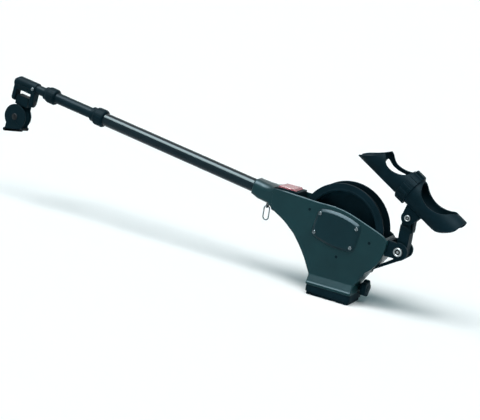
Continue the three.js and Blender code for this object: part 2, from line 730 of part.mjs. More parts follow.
const ratchetBack = padBack + fit + ratchetWall;
function ratchetOutline() {
  const points = [];
  for (let i = 0; i < ratchetTeeth; i += 1) {
    const start = (i / ratchetTeeth) * 2 * Math.PI;
    const crest = ((i + toothCrestShare) / ratchetTeeth) * 2 * Math.PI;
    const root = ratchetRadius - ratchetTooth;
    points.push([reelX + root * Math.cos(start), reelZ + root * Math.sin(start)]);
    points.push([reelX + ratchetRadius * Math.cos(crest), reelZ + ratchetRadius * Math.sin(crest)]);
  }
  return points;
}
add('ratchet_gear', cut(acrossY(ratchetOutline(), padBack + fit, ratchetBack),
  rodY(shaftRadius + fit, 0, innerHalf, reelX, reelZ, roundSteps)), steel);
const plateFront = ratchetBack + fit;
const plateBack = innerHalf - fit * 2 - bushFlangeWall;
add('pressure_plate', turnedY([[shaftRadius + fit, plateFront], [pressureRadius, plateFront],
  [pressureRadius, (plateFront + plateBack) / 2], [hubRadius, plateBack], [shaftRadius + fit, plateBack]],
reelX, reelZ), steel);

// Pawl on its pin: a nose that drops beside the ratchet's teeth
const pawlTip = ratchetRadius + fit * 2;
const tipAngle = pawlAngle + pawlSpan / ratchetRadius;
const tipX = reelX + pawlTip * Math.cos(tipAngle);
const tipZ = reelZ + pawlTip * Math.sin(tipAngle);
const heelX = reelX + (pawlTip + pawlPinRadius) * Math.cos(tipAngle);
const heelZ = reelZ + (pawlTip + pawlPinRadius) * Math.sin(tipAngle);
const sideX = pawlX + pawlRadius * Math.cos(pawlAngle);
const sideZ = pawlZ + pawlRadius * Math.sin(pawlAngle);
const pawlNose = acrossY([[pawlX, pawlZ], [tipX, tipZ], [heelX, heelZ], [sideX, sideZ]], padBack + fit,
  ratchetBack);
add('ratchet_pawl', cut(joined(rodY(pawlRadius, padBack + fit, ratchetBack, pawlX, pawlZ), pawlNose),
  rodY(pawlPinRadius + fit, 0, innerHalf, pawlX, pawlZ)), steel);
add('pawl_pin', joined(rodY(pawlPinRadius, padBack + fit, frameHalf + fit * 2, pawlX, pawlZ),
  rodY(pawlPinHeadRadius, frameHalf + fit, frameHalf + fit + pinHeadWall, pawlX, pawlZ)), steel);

// Crank arm hanging from the shaft, grip on its pin, clutch knob outside
const gripZ = reelZ - crankLength;
const armTaper = [[crankHubRadius, 0], [crankEndRadius, -crankLength], [-crankEndRadius, -crankLength],
  [-crankHubRadius, 0]];
const crankArm = joined(rodY(crankHubRadius, crankFace, crankFace + crankWall, reelX, reelZ, roundSteps),
  rodY(crankBossRadius, frameHalf + fit, crankFace + crankWall, reelX, reelZ, roundSteps),
  rodY(crankEndRadius, crankFace, crankFace + crankWall, reelX, gripZ),
  acrossY(moved(armTaper, reelX, reelZ), crankFace, crankFace + crankWall));
add('crank_arm', cut(crankArm, rodY(shaftRadius + fit, 0, shaftEnd, reelX, reelZ, roundSteps),
  rodY(gripPinRadius + fit, 0, shaftEnd, reelX, gripZ)), steel);
const gripStart = crankFace + crankWall + fit;
const gripEnd = gripStart + gripLength;
const gripBore = gripPinRadius + fit;
const [swellY, waistY, endSwellY] = gripShares.map((share) => gripStart + gripLength * share);
add('crank_grip', turnedY([[gripBore, gripStart], [gripWaistRadius, gripStart], [gripRadius, swellY],
  [gripWaistRadius, waistY], [gripRadius, endSwellY], [gripWaistRadius, gripEnd], [gripBore, gripEnd]],
reelX, gripZ), rubber);
add('grip_pin', joined(rodY(gripPinRadius, crankFace - fit, gripEnd + fit * 2, reelX, gripZ),
  rodY(gripHeadRadius, gripEnd + fit, gripEnd + fit + gripHeadWall, reelX, gripZ)), chrome);
const knobFace = crankFace + crankWall + fit;
add('clutch_knob', cut(acrossY(moved(lobed(clutchKnobRadius, clutchLobeDepth, clutchLobes, fineSteps),
  reelX, reelZ),
  knobFace, knobFace + clutchKnobWall), rodY(shaftRadius + fit, 0, shaftEnd - cutOver + fit, reelX, reelZ,
    roundSteps)),
blackPlastic);

// Line counter: housing, lens, digit wheels on a shaft and the roller against the reel's rim
function counterHousing() {
  const shellBox = block(counterFront, counterBack, -counterHalf, counterHalf, counterFloor, counterTop);
  const inside = block(counterFront + counterWall, counterBack - counterWall, -counterHalf + counterWall,
    counterHalf - counterWall, counterFloor - cutOver, counterTop - counterWall);
  const ear = rodY(rollerEarRadius, -counterHalf, -counterHalf + counterWall, rollerX, rollerZ);
  const arm = block(counterBack - counterWall, rollerX, -counterHalf, -counterHalf + counterWall,
    rollerZ - rollerEarRadius, rollerZ + rollerEarRadius);
  const window = block(wheelX - digitRadius, wheelX + digitRadius, -digitWidth * 2, digitWidth * 2,
    counterTop - counterWall - cutOver, counterTop + cutOver);
  const notch = block(counterBack - counterWall - cutOver, counterBack + cutOver,
    -counterHalf + counterWall,
    -counterHalf + counterWall + rollerWidth + cutOver, counterFloor - cutOver,
      rollerZ + rollerRadius + cutOver / 2);
  const shaftHoles = rodY(rollerAxleRadius + fit, -counterHalf - cutOver, counterHalf + cutOver, wheelX,
    wheelZ);
  const axleHole = rodY(rollerAxleRadius + fit, -counterHalf - cutOver, 0, rollerX, rollerZ);
  return cut(joined(cut(shellBox, inside), ear, arm), window, notch, shaftHoles, axleHole);
}
add('counter_housing', counterHousing(), blackPlastic);
const lensFront = counterFront + lensMargin;
const lensBack = counterBack - lensMargin * 2;
const lensFoot = counterTop + fit;
const lensOutline = [[lensFront, lensFoot], [lensFront + lensMargin, lensFoot + lensHeight],
  [lensBack - lensMargin, lensFoot + lensHeight], [lensBack, lensFoot]];
add('counter_lens', acrossY(lensOutline, -counterHalf + lensMargin, counterHalf - lensMargin), redLens);
add('counter_shaft', rodY(rollerAxleRadius, -counterHalf, counterHalf, wheelX, wheelZ), steel);
const rollerFace = -counterHalf + counterWall + fit;
const ring = (radius, bore, low, high, x, z) => turnedY([[bore, low], [radius, low], [radius, high],
  [bore, high]], x, z);
add('counter_wheel', ring(counterWheelRadius, rollerAxleRadius + fit, rollerFace,
  rollerFace + rollerWidth, wheelX, wheelZ),
  rubber);
add('counter_roller', joined(rodY(rollerRadius, rollerFace, rollerFace + rollerWidth, rollerX, rollerZ,
  roundSteps),
  rodY(rollerAxleRadius, -counterHalf, rollerFace + rollerWidth, rollerX, rollerZ)), rubber);
['hundreds', 'tens', 'units'].forEach((place, i) => {
  const middle = (i - 1) * (digitWidth + digitGap);
  add(`digit_wheel_${place}`, ring(digitRadius, rollerAxleRadius + fit, middle - digitWidth / 2,
    middle + digitWidth / 2,
    wheelX, wheelZ), paleDigit);
});

// Boom tubes, with their guide bushes and lock collars
const pipe = (radius, wall, from, to) => turnedX([[radius - wall, from], [radius, from], [radius, to],
  [radius - wall, to]]);
const [eyeX, eyeAxisZ] = boomPoint(-eyeReach, 0);
const outerTube = cut(pipe(outerTubeRadius, tubeWall, -tubeSeat, outerTubeReach),
  intoBoom(rodZ(eyeStud + fit * 2, footTop, eyeAxisZ, eyeX, 0)));
add('outer_tube', outerTube, glossTube, boom);
add('mid_tube', pipe(midTubeRadius, tubeWall, midTubeInner, midTubeReach), glossTube, boom);
add('inner_tube', pipe(innerTubeRadius, tubeWall, innerTubeInner, innerTubeReach), glossTube, boom);
function guideBush(tube, end) {
  return pipe(tube + fit + guideBushWall, guideBushWall, end + fit, end + fit + guideBushLength);
}
add('rear_guide_bush', guideBush(midTubeRadius, outerTubeReach), rubber, boom);
add('front_guide_bush', guideBush(innerTubeRadius, midTubeReach), rubber, boom);
function lockCollar(bigTube, smallTube, end, grip, noseLength, radius, noseRadius) {
  const bushOuter = smallTube + fit * 2 + guideBushWall;
  const bushEnd = end + guideBushLength + fit * 2;
  const nose = bushEnd + noseLength;
  const body = turnedX([[bigTube + fit, end - grip], [radius - collarChamfer, end - grip],
    [radius, end - grip + collarChamfer],
    [radius, bushEnd - collarChamfer / 2], [noseRadius, bushEnd + collarChamfer], [noseRadius, nose],
      [smallTube + fit, nose],
    [smallTube + fit, bushEnd], [Math.max(bushOuter, bigTube + fit), bushEnd],
    [Math.max(bushOuter, bigTube + fit), end], [bigTube + fit, end]]);
  const lug = block(-(end + guideBushLength - collarChamfer), -(end - grip + collarChamfer),
    radius - collarLug / 2,
    radius + collarLug, -collarLugWidth / 2, collarLugWidth / 2);
  return body.add(lug);
}
add('rear_lock_collar', lockCollar(outerTubeRadius, midTubeRadius, outerTubeReach, rearCollarGrip,
  rearNoseLength,
  rearCollarRadius, rearNoseRadius), blackPlastic, boom);
add('front_lock_collar', lockCollar(midTubeRadius, innerTubeRadius, midTubeReach, frontCollarGrip,
  frontNoseLength,
  frontCollarRadius, frontNoseRadius), blackPlastic, boom);

// Eye screwed up into the socket and the boom, with an oval ring hanging in it
const eyeTopZ = eyeAxisZ - outerTubeRadius + tubeWall;
const eyeZ = eyeAxisZ - socketHalf - eyeDrop;
function eyeBolt() {
  const hoop = new THREE.TorusGeometry(eyeRadius, eyeWire, wireSteps, coarseSteps);
  const loop = solid(hoop.rotateY(Math.PI / 2).translate(eyeX, 0, eyeZ));
  return joined(loop, rodZ(eyeStud, eyeZ + eyeRadius - eyeWire / 2, eyeTopZ, eyeX, 0));
}
add('eye_bolt', eyeBolt(), chrome);
function hangingRing() {
  const top = eyeZ - eyeRadius + eyeWire + fit + ringWire;
  const straight = ringHeight / 2 - ringHalfWidth;
  class Oval extends THREE.Curve {
    getPoint(t, target = new THREE.Vector3()) {
      const angle = t * 2 * Math.PI;
      const rise = Math.sin(angle) >= 0 ? straight : -straight;
      const middle = top - ringHeight / 2;
      return target.set(eyeX + ringHalfWidth * Math.cos(angle), 0,
        middle + ringHalfWidth * Math.sin(angle) + rise);
    }
  }
  const path = new Oval();
  const points = path.getPoints(roundSteps);
  const section = Array.from({ length: wireSteps }, (_, i) => {
    const angle = (i / wireSteps) * 2 * Math.PI;
    return [ringWire * Math.cos(angle), ringWire * Math.sin(angle)];
  });
  const indices = [];
  const place = [];
  const count = points.length - 1;
  for (let i = 0; i < count; i += 1) {
    const before = points[(i + count - 1) % count];
    const after = points[(i + 1) % count];
    const ahead = after.clone().sub(before).normalize();
    const side = new THREE.Vector3().crossVectors(ahead, axisY).normalize();
    section.forEach(([u, v]) => {
      const corner = points[i].clone().addScaledVector(side, u).addScaledVector(axisY, v);
      place.push(corner.x, corner.y, corner.z);
    });
    section.forEach((_, j) => {
      const next = (j + 1) % wireSteps;
      const ringA = i * wireSteps;
      const ringB = ((i + 1) % count) * wireSteps;
      indices.push(ringA + j, ringB + j, ringB + next, ringA + j, ringB + next, ringA + next);
    });
  }
  const geometry = new THREE.BufferGeometry();
  geometry.setAttribute('position', new THREE.Float32BufferAttribute(place, 3));
  geometry.setIndex(indices);
  return solid(geometry);
}
add('hanging_ring', hangingRing(), chrome);

// Swivel yoke on the inner tube: a nose-down U whose two legs carry the swivel pin
const yokeEnd = yokeStart + yokeLength;
const frontLegStart = yokeEnd - yokeFrontLeg;
const rearLegEnd = yokeStart + yokeRearLeg;
function yokeBody() {
  const side = [[-yokeStart, yokeRadius], [-yokeStart, -yokeBelly], [-yokeEnd, -yokeBelly],
    [-yokeEnd, yokeRadius - yokeNose], [-yokeEnd + yokeNose, yokeRadius]];
  const sleeve = rodX(yokeRadius, -yokeEnd, -yokeStart, 0, 0, roundSteps);
  const belly = block(-yokeEnd, -yokeStart, -yokeHalfWidth, yokeHalfWidth, -yokeBelly, 0);
  const bar = joined(sleeve, belly).intersect(acrossY(side, -yokeRadius, yokeRadius));
  const legOutline = [];
  for (let i = 0; i <= coarseSteps / 2; i += 1) {
    const angle = Math.PI + (i / (coarseSteps / 2)) * Math.PI;
    legOutline.push([legHalfWidth * Math.cos(angle), -swivelDrop + legHalfWidth * Math.sin(angle)]);
  }
  legOutline.push([legHalfWidth, -yokeBelly + cutOver], [-legHalfWidth, -yokeBelly + cutOver]);
  const rearLeg = alongX(legOutline, -rearLegEnd, -yokeStart);
  const frontLeg = alongX(legOutline, -yokeEnd, -frontLegStart);
  const bore = rodX(innerTubeRadius + fit, -innerTubeReach - fit, -yokeStart + cutOver, 0, 0, roundSteps);
  const pinHole = rodX(swivelPinRadius + fit, -yokeEnd - cutOver, -yokeStart + cutOver, 0, -swivelDrop);
  const screwHole = rodY(yokeScrewRadius + fit, -yokeRadius - cutOver, 0, -yokeStart - yokeRearLeg / 2, 0);
  return cut(joined(bar, rearLeg, frontLeg), bore, pinHole, screwHole);
}
add('swivel_yoke', yokeBody(), blackPlastic, boom);
const screwS = -yokeStart - yokeRearLeg / 2;
add('yoke_screw', joined(rodY(yokeScrewRadius, -yokeRadius - fit * 2, -innerTubeRadius - fit, screwS, 0),
  rodY(yokeScrewHeadRadius, -yokeRadius - fit - screwHeadWall, -yokeRadius - fit, screwS, 0)), chrome,
    boom);
add('swivel_pin', joined(rodX(swivelPinRadius, -yokeEnd - fit, -yokeStart + fit * 2, 0, -swivelDrop),
  rodX(swivelHeadRadius, -yokeStart + fit, -yokeStart + fit + swivelHeadWall, 0, -swivelDrop)), steel,
    boom);

// Pulley block: two round cheeks with a skirt, pins between them and the neck on the far one
const neckMid = -(rearLegEnd + frontLegStart) / 2;
const pulleyS = neckMid - pulleyForward;
const pulleyN = -swivelDrop - pulleyDrop;
const cheekInner = pulleyWidth / 2 + cheekGap;
const cheekOuter = cheekInner + cheekWall;
const guardPlaces = [
  [pulleyS + skirtRear, pulleyN - skirtRearDrop + guardLobeRadius],
  [pulleyS - skirtFront, pulleyN - skirtFrontDrop + guardLobeRadius],
];
function cheek(side) {
  const low = Math.min(side * cheekInner, side * cheekOuter);
  const high = Math.max(side * cheekInner, side * cheekOuter);
  const skirt = [[pulleyS + skirtRear, pulleyN], [pulleyS + skirtRear, pulleyN - skirtRearDrop],
    [pulleyS - skirtFront, pulleyN - skirtFrontDrop], [pulleyS - skirtFront, pulleyN]];
  let body = joined(rodY(cheekRadius, low, high, pulleyS, pulleyN, roundSteps), acrossY(skirt, low, high));
  guardPlaces.forEach(([x, z]) => {
    body = body.add(rodY(guardLobeRadius, low, high, x, z));
  });
  guardPlaces.forEach(([x, z]) => {
    body = cut(body, rodY(guardPinRadius + fit, low - cutOver, high + cutOver, x, z));
  });
  body = cut(body, rodY(pulleyAxleRadius + fit, low - cutOver, high + cutOver, pulleyS, pulleyN));
  return body;
}
const neckFoot = pulleyN + pulleyRadius + cutOver / 2;
const strapFoot = pulleyN + pulleyHubRadius;
const neckRear = neckMid - blockNeckHalfLength;
const neckFront = neckMid + blockNeckHalfLength;
const neck = joined(
  block(neckRear, neckFront, -blockNeckHalfWidth, cheekOuter, neckFoot, -swivelDrop + blockNeckTop),
  block(neckRear, neckFront, cheekInner, cheekOuter, strapFoot, neckFoot + cutOver / 3),
);
const neckBore = rodX(swivelPinRadius + fit, neckRear - cutOver, neckFront + cutOver, 0, -swivelDrop);
add('pulley_cheek_near', cheek(-1), blackPlastic, boom);
add('pulley_cheek_far', cut(cheek(1).add(neck), neckBore), blackPlastic, boom);
const halfPulley = pulleyWidth / 2;
add('pulley', turnedY([[pulleyAxleRadius + fit, -halfPulley], [pulleyHubRadius, -halfPulley],
  [pulleyHubRadius, -pulleyWeb / 2], [pulleyRadius - pulleyGroove - pulleyWeb / 2, -pulleyWeb / 2],
  [pulleyRadius - pulleyWeb / 2, -halfPulley], [pulleyRadius, -halfPulley],
    [pulleyRadius - pulleyGroove, 0],
  [pulleyRadius, halfPulley], [pulleyRadius - pulleyWeb / 2, halfPulley],
  [pulleyRadius - pulleyGroove - pulleyWeb / 2, pulleyWeb / 2], [pulleyHubRadius, pulleyWeb / 2],
  [pulleyHubRadius, halfPulley], [pulleyAxleRadius + fit, halfPulley]], pulleyS, pulleyN), blackPlastic,
    boom);
add('pulley_axle', joined(rodY(pulleyAxleRadius, -cheekOuter - fit * 2, cheekOuter, pulleyS, pulleyN),
  rodY(axleHeadRadius, -cheekOuter - fit - axleHeadWall, -cheekOuter - fit, pulleyS, pulleyN)), steel,
    boom);
guardPlaces.forEach(([x, z], i) => {
  add(`line_guard_pin_${i + 1}`, rodY(guardPinRadius, -cheekOuter - cheekGap, cheekOuter + cheekGap, x,
    z), steel, boom);
});

// Rear bracket: a web on the frame's rear wall, two ears for the bolt, a cross bar that joins
// them under the arm's foot and one rib in the middle that runs down to the frame
const bracketHalf = armHalfWidth + fit * 2 + earWall;
const earInner = bracketHalf - earWall;
function bracketBody() {
  const frameRear = aroundReel(rearEdgeShares);
  const [cornerX, cornerZ] = frameRear[0];
  const [ribX, ribZ] = frameRear[3];
  const earFloor = bracketZ - earRadius * earFloorShare;
  const earTop = bracketZ + earRadius * earTopShare;
  const [ribTip, ribRoot] = ribTipShares.map(([u, v]) =>
    [bracketX + earRadius * u, bracketZ + earRadius * v]);
  const earOutline = [[cornerX - edgeWall * 2, cornerZ + edgeWall], [bracketX - armFront, earTop],
    [bracketX, earFloor], [cornerX - edgeWall * 2, earFloor]];
  const ears = joined(acrossY(earOutline, -bracketHalf, bracketHalf),
    rodY(earRadius, -bracketHalf, bracketHalf, bracketX, bracketZ, roundSteps));
  const webEdge = cornerX + fit + bracketWeb;
  const between = block(webEdge, bracketX + earRadius + cutOver, -earInner, earInner, 0, farAbove);
  const barHalf = earRadius * barHalfShare;
  const barSpan = block(bracketX - barHalf, bracketX + barHalf, -bracketHalf, bracketHalf,
    bracketZ - earRadius - cutOver, bracketZ - earRadius * barTopShare);
  const bar = rodY(earRadius, -earInner - cutOver / 3, earInner + cutOver / 3, bracketX, bracketZ,
    roundSteps)
    .intersect(barSpan);
  const rib = acrossY([[ribX - edgeWall * 2, ribZ - edgeWall * 2], ribTip, ribRoot,
    [ribX - edgeWall, ribZ + ribWall / 2]],
    -ribHalf, ribHalf);
  const footRoom = rodY(armFootRadius + fit * 2, -earInner, earInner, bracketX, bracketZ, roundSteps);
  const frameRoom = acrossY(inset(frameOutline, -fit), -frameHalf - cutOver, frameHalf + cutOver);
  const boltHole = rodY(bracketBoltRadius + fit, -bracketHalf - cutOver, bracketHalf + cutOver, bracketX,
    bracketZ);
  return cut(joined(cut(ears, between), bar, rib), footRoom, frameRoom, boltHole);
}
add('holder_bracket', bracketBody(), blackPlastic);
const crossBolt = (radius, headRadius, headWall, half, x, z) => joined(
  rodY(radius, -half - fit * 2, half, x, z),
  rodY(headRadius, -half - fit - headWall, -half - fit, x, z));
add('bracket_bolt', crossBolt(bracketBoltRadius, bracketHeadRadius, bracketHeadWall, bracketHalf,
  bracketX, bracketZ), chrome);

// Arm between the ears, with a narrower tongue that the holder's cheeks straddle
const tongueHalf = armHalfWidth - earWall / 2 - fit;
function armBody() {
  const outline = [[-armFront, 0], [-armFront, armShoulder], [armRear - armFront, armShoulder],
    [armRear, armShoulder - armFront], [armRear, armFront], [armFootRadius * armHeelShare, -armFront]];
  const body = joined(acrossY(moved(outline, bracketX, bracketZ), -armHalfWidth, armHalfWidth),
    rodY(armFootRadius, -armHalfWidth, armHalfWidth, bracketX, bracketZ, roundSteps));
  const lean = armLength * Math.sin(leanAngle);
  const neckOutline = [[lean - tongueRadius, armShoulder - tongueRadius],
    [lean - tongueRadius, upperZ - bracketZ],
    [lean + tongueRadius, upperZ - bracketZ], [lean + tongueRadius, armShoulder - tongueRadius]];
  const tongue = joined(acrossY(moved(neckOutline, bracketX, bracketZ), -tongueHalf, tongueHalf),
    rodY(tongueRadius, -tongueHalf, tongueHalf, upperX, upperZ));
  return cut(joined(body, tongue), rodY(bracketBoltRadius + fit, -frameHalf, frameHalf, bracketX, bracketZ),
    rodY(upperBoltRadius + fit, -frameHalf, frameHalf, upperX, upperZ));
}
add('holder_arm', armBody(), blackPlastic);
const saddleHalf = tongueHalf + fit * 2 + cheekPlate;
add('upper_bolt', crossBolt(upperBoltRadius, upperHeadRadius, upperHeadWall, saddleHalf, upperX, upperZ),
  chrome);

// Rod holder: a front and a rear cradle cut from one tube, clamped end to end by a ribbed ring
const asOutline = (shares) => shares.map(([u, v]) => [-u * holderRadius, v * holderRadius]);
const above = holderRadius + cutOver;
const holderTube = (from, to) => turnedX([[holderRadius - holderWall, from], [holderRadius, from],
  [holderRadius, to],
  [holderRadius - holderWall, to]], holderSteps);
function frontCradle() {
  const side = [[-fit / 2, -above], [-holderFrontReach, -above], ...smooth(asOutline(frontEndShares)),
    ...smooth(asOutline(frontScoopShares)), [-frontScoopShares[5][0] * holderRadius, above],
      [-fit / 2, above]];
  const kept = holderTube(fit / 2, holderFrontReach).intersect(acrossY(side, -above, above));
  return cut(kept, acrossY(asOutline(windowShares), 0, above));
}
add('holder_front_cradle', frontCradle(), blackPlastic, holder);
function rearCradle() {
  const side = [[fit / 2, above], [-rearScoopShares[0][0] * holderRadius, above],
    ...smooth(asOutline(rearScoopShares)),
    [holderRearReach, above], ...smooth(asOutline(rearEndShares)), [fit / 2, -above]];
  const tube = holderTube(-holderRearReach, -fit / 2).intersect(acrossY(side, -above, above));
  const boltN = -boltRadiusFromAxis;
  const plateTop = -holderRadius * saddleTopShare;
  const plateOutline = [[holderBoltSetback - saddleFront, plateTop],
    [holderBoltSetback - saddleRadius, boltN],
    [holderBoltSetback + saddleRadius, boltN], [holderBoltSetback + saddleRear, plateTop]];
  const plates = joined(acrossY(plateOutline, -saddleHalf, saddleHalf),
    rodY(saddleRadius, -saddleHalf, saddleHalf, holderBoltSetback, boltN));
  const between = block(holderBoltSetback - saddleFront - cutOver, holderBoltSetback + saddleRear + cutOver,
    -saddleHalf + cheekPlate, saddleHalf - cheekPlate, boltN - above, -holderRadius + holderWall / 2);
  const passage = rodX(holderRadius - holderWall, -cutOver, holderRearReach + cutOver, 0, 0, holderSteps);
  const bolt = rodY(upperBoltRadius + fit, -above, above, holderBoltSetback, boltN);
  return cut(joined(tube, cut(plates, between, passage)), bolt);
}
add('holder_rear_cradle', rearCradle(), blackPlastic, holder);
function clampRing() {
  const inner = holderRadius + fit;
  const outer = inner + holderRingWall;
  const outline = [];
  for (let i = 0; i < holderRingRibs; i += 1) {
    ringRibShares.forEach(([share, raised]) => {
      const angle = ((i + share) / holderRingRibs) * 2 * Math.PI;
      const reach = outer + raised * holderRingRib;
      outline.push([reach * Math.cos(angle), reach * Math.sin(angle)]);
    });
  }
  const half = holderRingLength / 2;
  const lugReach = outer + holderRingRib + holderLugRise;
  const lugs = block(-half, half, -holderLugWidth / 2, holderLugWidth / 2, -lugReach, lugReach);
  const bore = rodX(inner, -half - cutOver, half + cutOver, 0, 0, holderSteps);
  return cut(joined(alongX(outline, -half, half), lugs), bore);
}
add('holder_ring', clampRing(), blackPlastic, holder);

export default downrigger;
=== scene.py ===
"""Looks of a hand-cranked downrigger: every shown piece over the fixed CAD frame."""
import math

import bmesh
import bpy
from mathutils import Matrix, Vector


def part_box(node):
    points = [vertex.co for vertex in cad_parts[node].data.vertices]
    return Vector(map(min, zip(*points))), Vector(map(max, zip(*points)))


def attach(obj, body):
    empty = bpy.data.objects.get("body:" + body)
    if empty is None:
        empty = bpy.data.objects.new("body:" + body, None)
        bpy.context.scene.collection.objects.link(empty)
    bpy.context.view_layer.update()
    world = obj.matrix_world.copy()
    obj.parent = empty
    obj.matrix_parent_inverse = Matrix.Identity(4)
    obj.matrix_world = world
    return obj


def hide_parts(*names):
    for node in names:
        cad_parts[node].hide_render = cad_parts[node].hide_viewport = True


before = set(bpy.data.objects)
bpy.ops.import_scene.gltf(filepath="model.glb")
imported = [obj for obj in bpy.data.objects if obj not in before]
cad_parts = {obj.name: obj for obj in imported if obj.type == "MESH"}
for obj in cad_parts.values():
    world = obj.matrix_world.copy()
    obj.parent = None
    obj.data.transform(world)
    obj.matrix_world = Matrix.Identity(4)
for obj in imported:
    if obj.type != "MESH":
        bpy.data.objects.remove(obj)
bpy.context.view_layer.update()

# Sizes shared with the solids. Shapes are drawn in millimetres and brought to metres at the end
MM = 0.001
FIT = 0.3
REEL_RADIUS = 101
REEL_HALF = 23.5
DRUM_RADIUS = 88
SHAFT_RADIUS = 6
FRAME_HALF = 29
SOCKET = (-230, 0, 204.3)
BOOM_PITCH = math.radians(8.7)
OUTER_RADIUS = 15.875
MID_RADIUS = 13.5
INNER_RADIUS = 11.75
TUBE_WALL = 1.6
OUTER_END = 452
MID_END = 600
BUSH_WALL = 4
BUSH_LENGTH = 8
GRIP_RIBS = 18
HOLDER_PITCH = math.radians(31.4)
HOLDER_RADIUS = 32
HOLDER_WALL = 3.5


def middle_of(node):
    """The middle of a CAD node's box along X and Z, in millimetres."""
    low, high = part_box(node)
    return (low[0] + high[0]) / 2 / MM, (low[2] + high[2]) / 2 / MM


# Axes along Y, from the frame, each a place in X and Z
SHAFT = middle_of("main_shaft")
CRANK_PIN = middle_of("grip_pin")
PAWL_PIN = middle_of("pawl_pin")
WHEEL_AXIS = middle_of("counter_shaft")
ROLLER_AXIS = middle_of("counter_roller")
COVER = middle_of("cover_plate")
COVER_SCREWS = [middle_of(f"cover_screw_{i}") for i in (1, 2, 3, 4)]
FRAME_SCREWS = [middle_of(f"frame_screw_{i}") for i in (1, 2)]
BRACKET_BOLT = middle_of("bracket_bolt")
UPPER_BOLT = middle_of("upper_bolt")
HOLDER_MIDDLE = middle_of("holder_ring")

# Places of drawn shapes: a plate whose thickness runs along Y or X, and a turned piece on either
PLATE_Y = Matrix(((1, 0, 0, 0), (0, 0, -1, 0), (0, 1, 0, 0), (0, 0, 0, 1)))
PLATE_X = Matrix(((0, 0, 1, 0), (1, 0, 0, 0), (0, 1, 0, 0), (0, 0, 0, 1)))
TURN_Y = Matrix.Rotation(-math.pi / 2, 4, "X")
TURN_X = Matrix.Rotation(math.pi / 2, 4, "Y")
BOOM = Matrix.Translation(SOCKET) @ Matrix.Rotation(BOOM_PITCH, 4, "Y")
HOLDER = Matrix.Translation((HOLDER_MIDDLE[0], 0, HOLDER_MIDDLE[1])) @ Matrix.Rotation(HOLDER_PITCH, 4, "Y")


# Colour and node helpers
def linear(code):
    """An sRGB hex colour as linear RGBA."""
    out = []
    for i in (1, 3, 5):
        c = int(code[i:i + 2], 16) / 255
        out.append(c / 12.92 if c <= 0.04045 else ((c + 0.055) / 1.055) ** 2.4)
    return (*out, 1.0)


def put(tree, kind, inputs=None, **settings):
    """One node with its settings; an input is a value or another node's socket."""
    node = tree.nodes.new(kind)
    for key, value in settings.items():
        setattr(node, key, value)
    for key, value in (inputs or {}).items():
        if isinstance(value, bpy.types.NodeSocket):
            tree.links.new(value, node.inputs[key])
        else:
            node.inputs[key].default_value = value
    return node


def surface(name, **sockets):
    """A new material, its tree and its surface shader, with plain numbers on the shader's own sockets."""
    material = bpy.data.materials.new(name)
    material.use_nodes = True
    tree = material.node_tree
    shader = tree.nodes["Principled BSDF"]
    for key, value in sockets.items():
        shader.inputs[key.replace("_", " ")].default_value = value
    return material, tree, shader


# A noise lies mostly between these, and is spread from there over what it drives
NOISE_RANGE = {"From Min": 0.3, "From Max": 0.7}


def finish(name, colours, roughness, grain, depth, blotch, stretch=None, turn=(0, 0, 0), **sockets):
    """A surface with two close colours in blotches, a range of roughness, and a relief. Grain, the
    relief's depth and the blotches are in millimetres; stretch draws the grain out along X."""
    material, tree, shader = surface(name, **sockets)
    place = put(tree, "ShaderNodeTexCoord").outputs["Object"]
    blotches = put(tree, "ShaderNodeTexNoise", {"Vector": place, "Scale": 1 / (blotch * MM), "Detail": 3,
                                                "Roughness": 0.5})
    share = put(tree, "ShaderNodeMapRange", {"Value": blotches.outputs["Fac"], **NOISE_RANGE})
    colour = put(tree, "ShaderNodeMix", {0: share.outputs["Result"], 6: linear(colours[0]),
                                         7: linear(colours[1])}, data_type="RGBA")
    tree.links.new(colour.outputs[2], shader.inputs["Base Color"])
    scuffs = put(tree, "ShaderNodeTexNoise", {"Vector": place, "Scale": 1 / (blotch / 5 * MM), "Detail": 5,
                                              "Roughness": 0.65})
    dull = put(tree, "ShaderNodeMapRange", {"Value": scuffs.outputs["Fac"], **NOISE_RANGE,
                                            "To Min": roughness[0], "To Max": roughness[1]})
    tree.links.new(dull.outputs["Result"], shader.inputs["Roughness"])
    if stretch:
        place = put(tree, "ShaderNodeMapping", {"Vector": place, "Rotation": turn,
                                                "Scale": (1 / stretch, 1, 1)}).outputs["Vector"]
    relief = put(tree, "ShaderNodeTexNoise", {"Vector": place, "Scale": 1 / (grain * MM), "Detail": 2,
                                              "Roughness": 0.5})
    bump = put(tree, "ShaderNodeBump", {"Height": relief.outputs["Fac"], "Strength": 0.5,
                                        "Distance": depth * MM})
    tree.links.new(bump.outputs["Normal"], shader.inputs["Normal"])
    return material


# Materials. What is moulded or anodised reflects with one cool tint
COOL = linear("#B9D4E0")
# Glass-filled nylon of the frame, injection moulded in an eroded mould: dark teal black and satin,
# with a fine even grain, drawn at 1.3 mm so that it shows
frame_nylon = finish("moulded_nylon_teal_black", ("#0C2B2F", "#103236"), (0.3, 0.38), grain=1.3, depth=0.03,
                     blotch=60, IOR=1.5, Specular_IOR_Level=0.25, Specular_Tint=COOL)
# The cover plate's own moulding: a shade blacker than the frame and smoother, so its roll shines
cover_abs = finish("moulded_abs_cover_black", ("#08242A", "#0A282E"), (0.28, 0.32), grain=1.2, depth=0.01,
                   blotch=60, IOR=1.5, Specular_IOR_Level=0.19, Specular_Tint=COOL)
# ABS of the reel, base, collars, head, knobs and holder, injection moulded: near black and smoother
black_abs = finish("moulded_abs_near_black", ("#06191F", "#0A1F27"), (0.46, 0.56), grain=1.1, depth=0.03,
                   blotch=45, IOR=1.5, Specular_IOR_Level=0.05, Specular_Tint=COOL)
# Soft polymer of the grip, guide bushes and friction wheels: matt, with a visible pebble
grip_rubber = finish("moulded_rubber_black", ("#0F1518", "#171E21"), (0.62, 0.8), grain=1.6, depth=0.12,
                     blotch=30, Specular_IOR_Level=0.3, Specular_Tint=COOL)
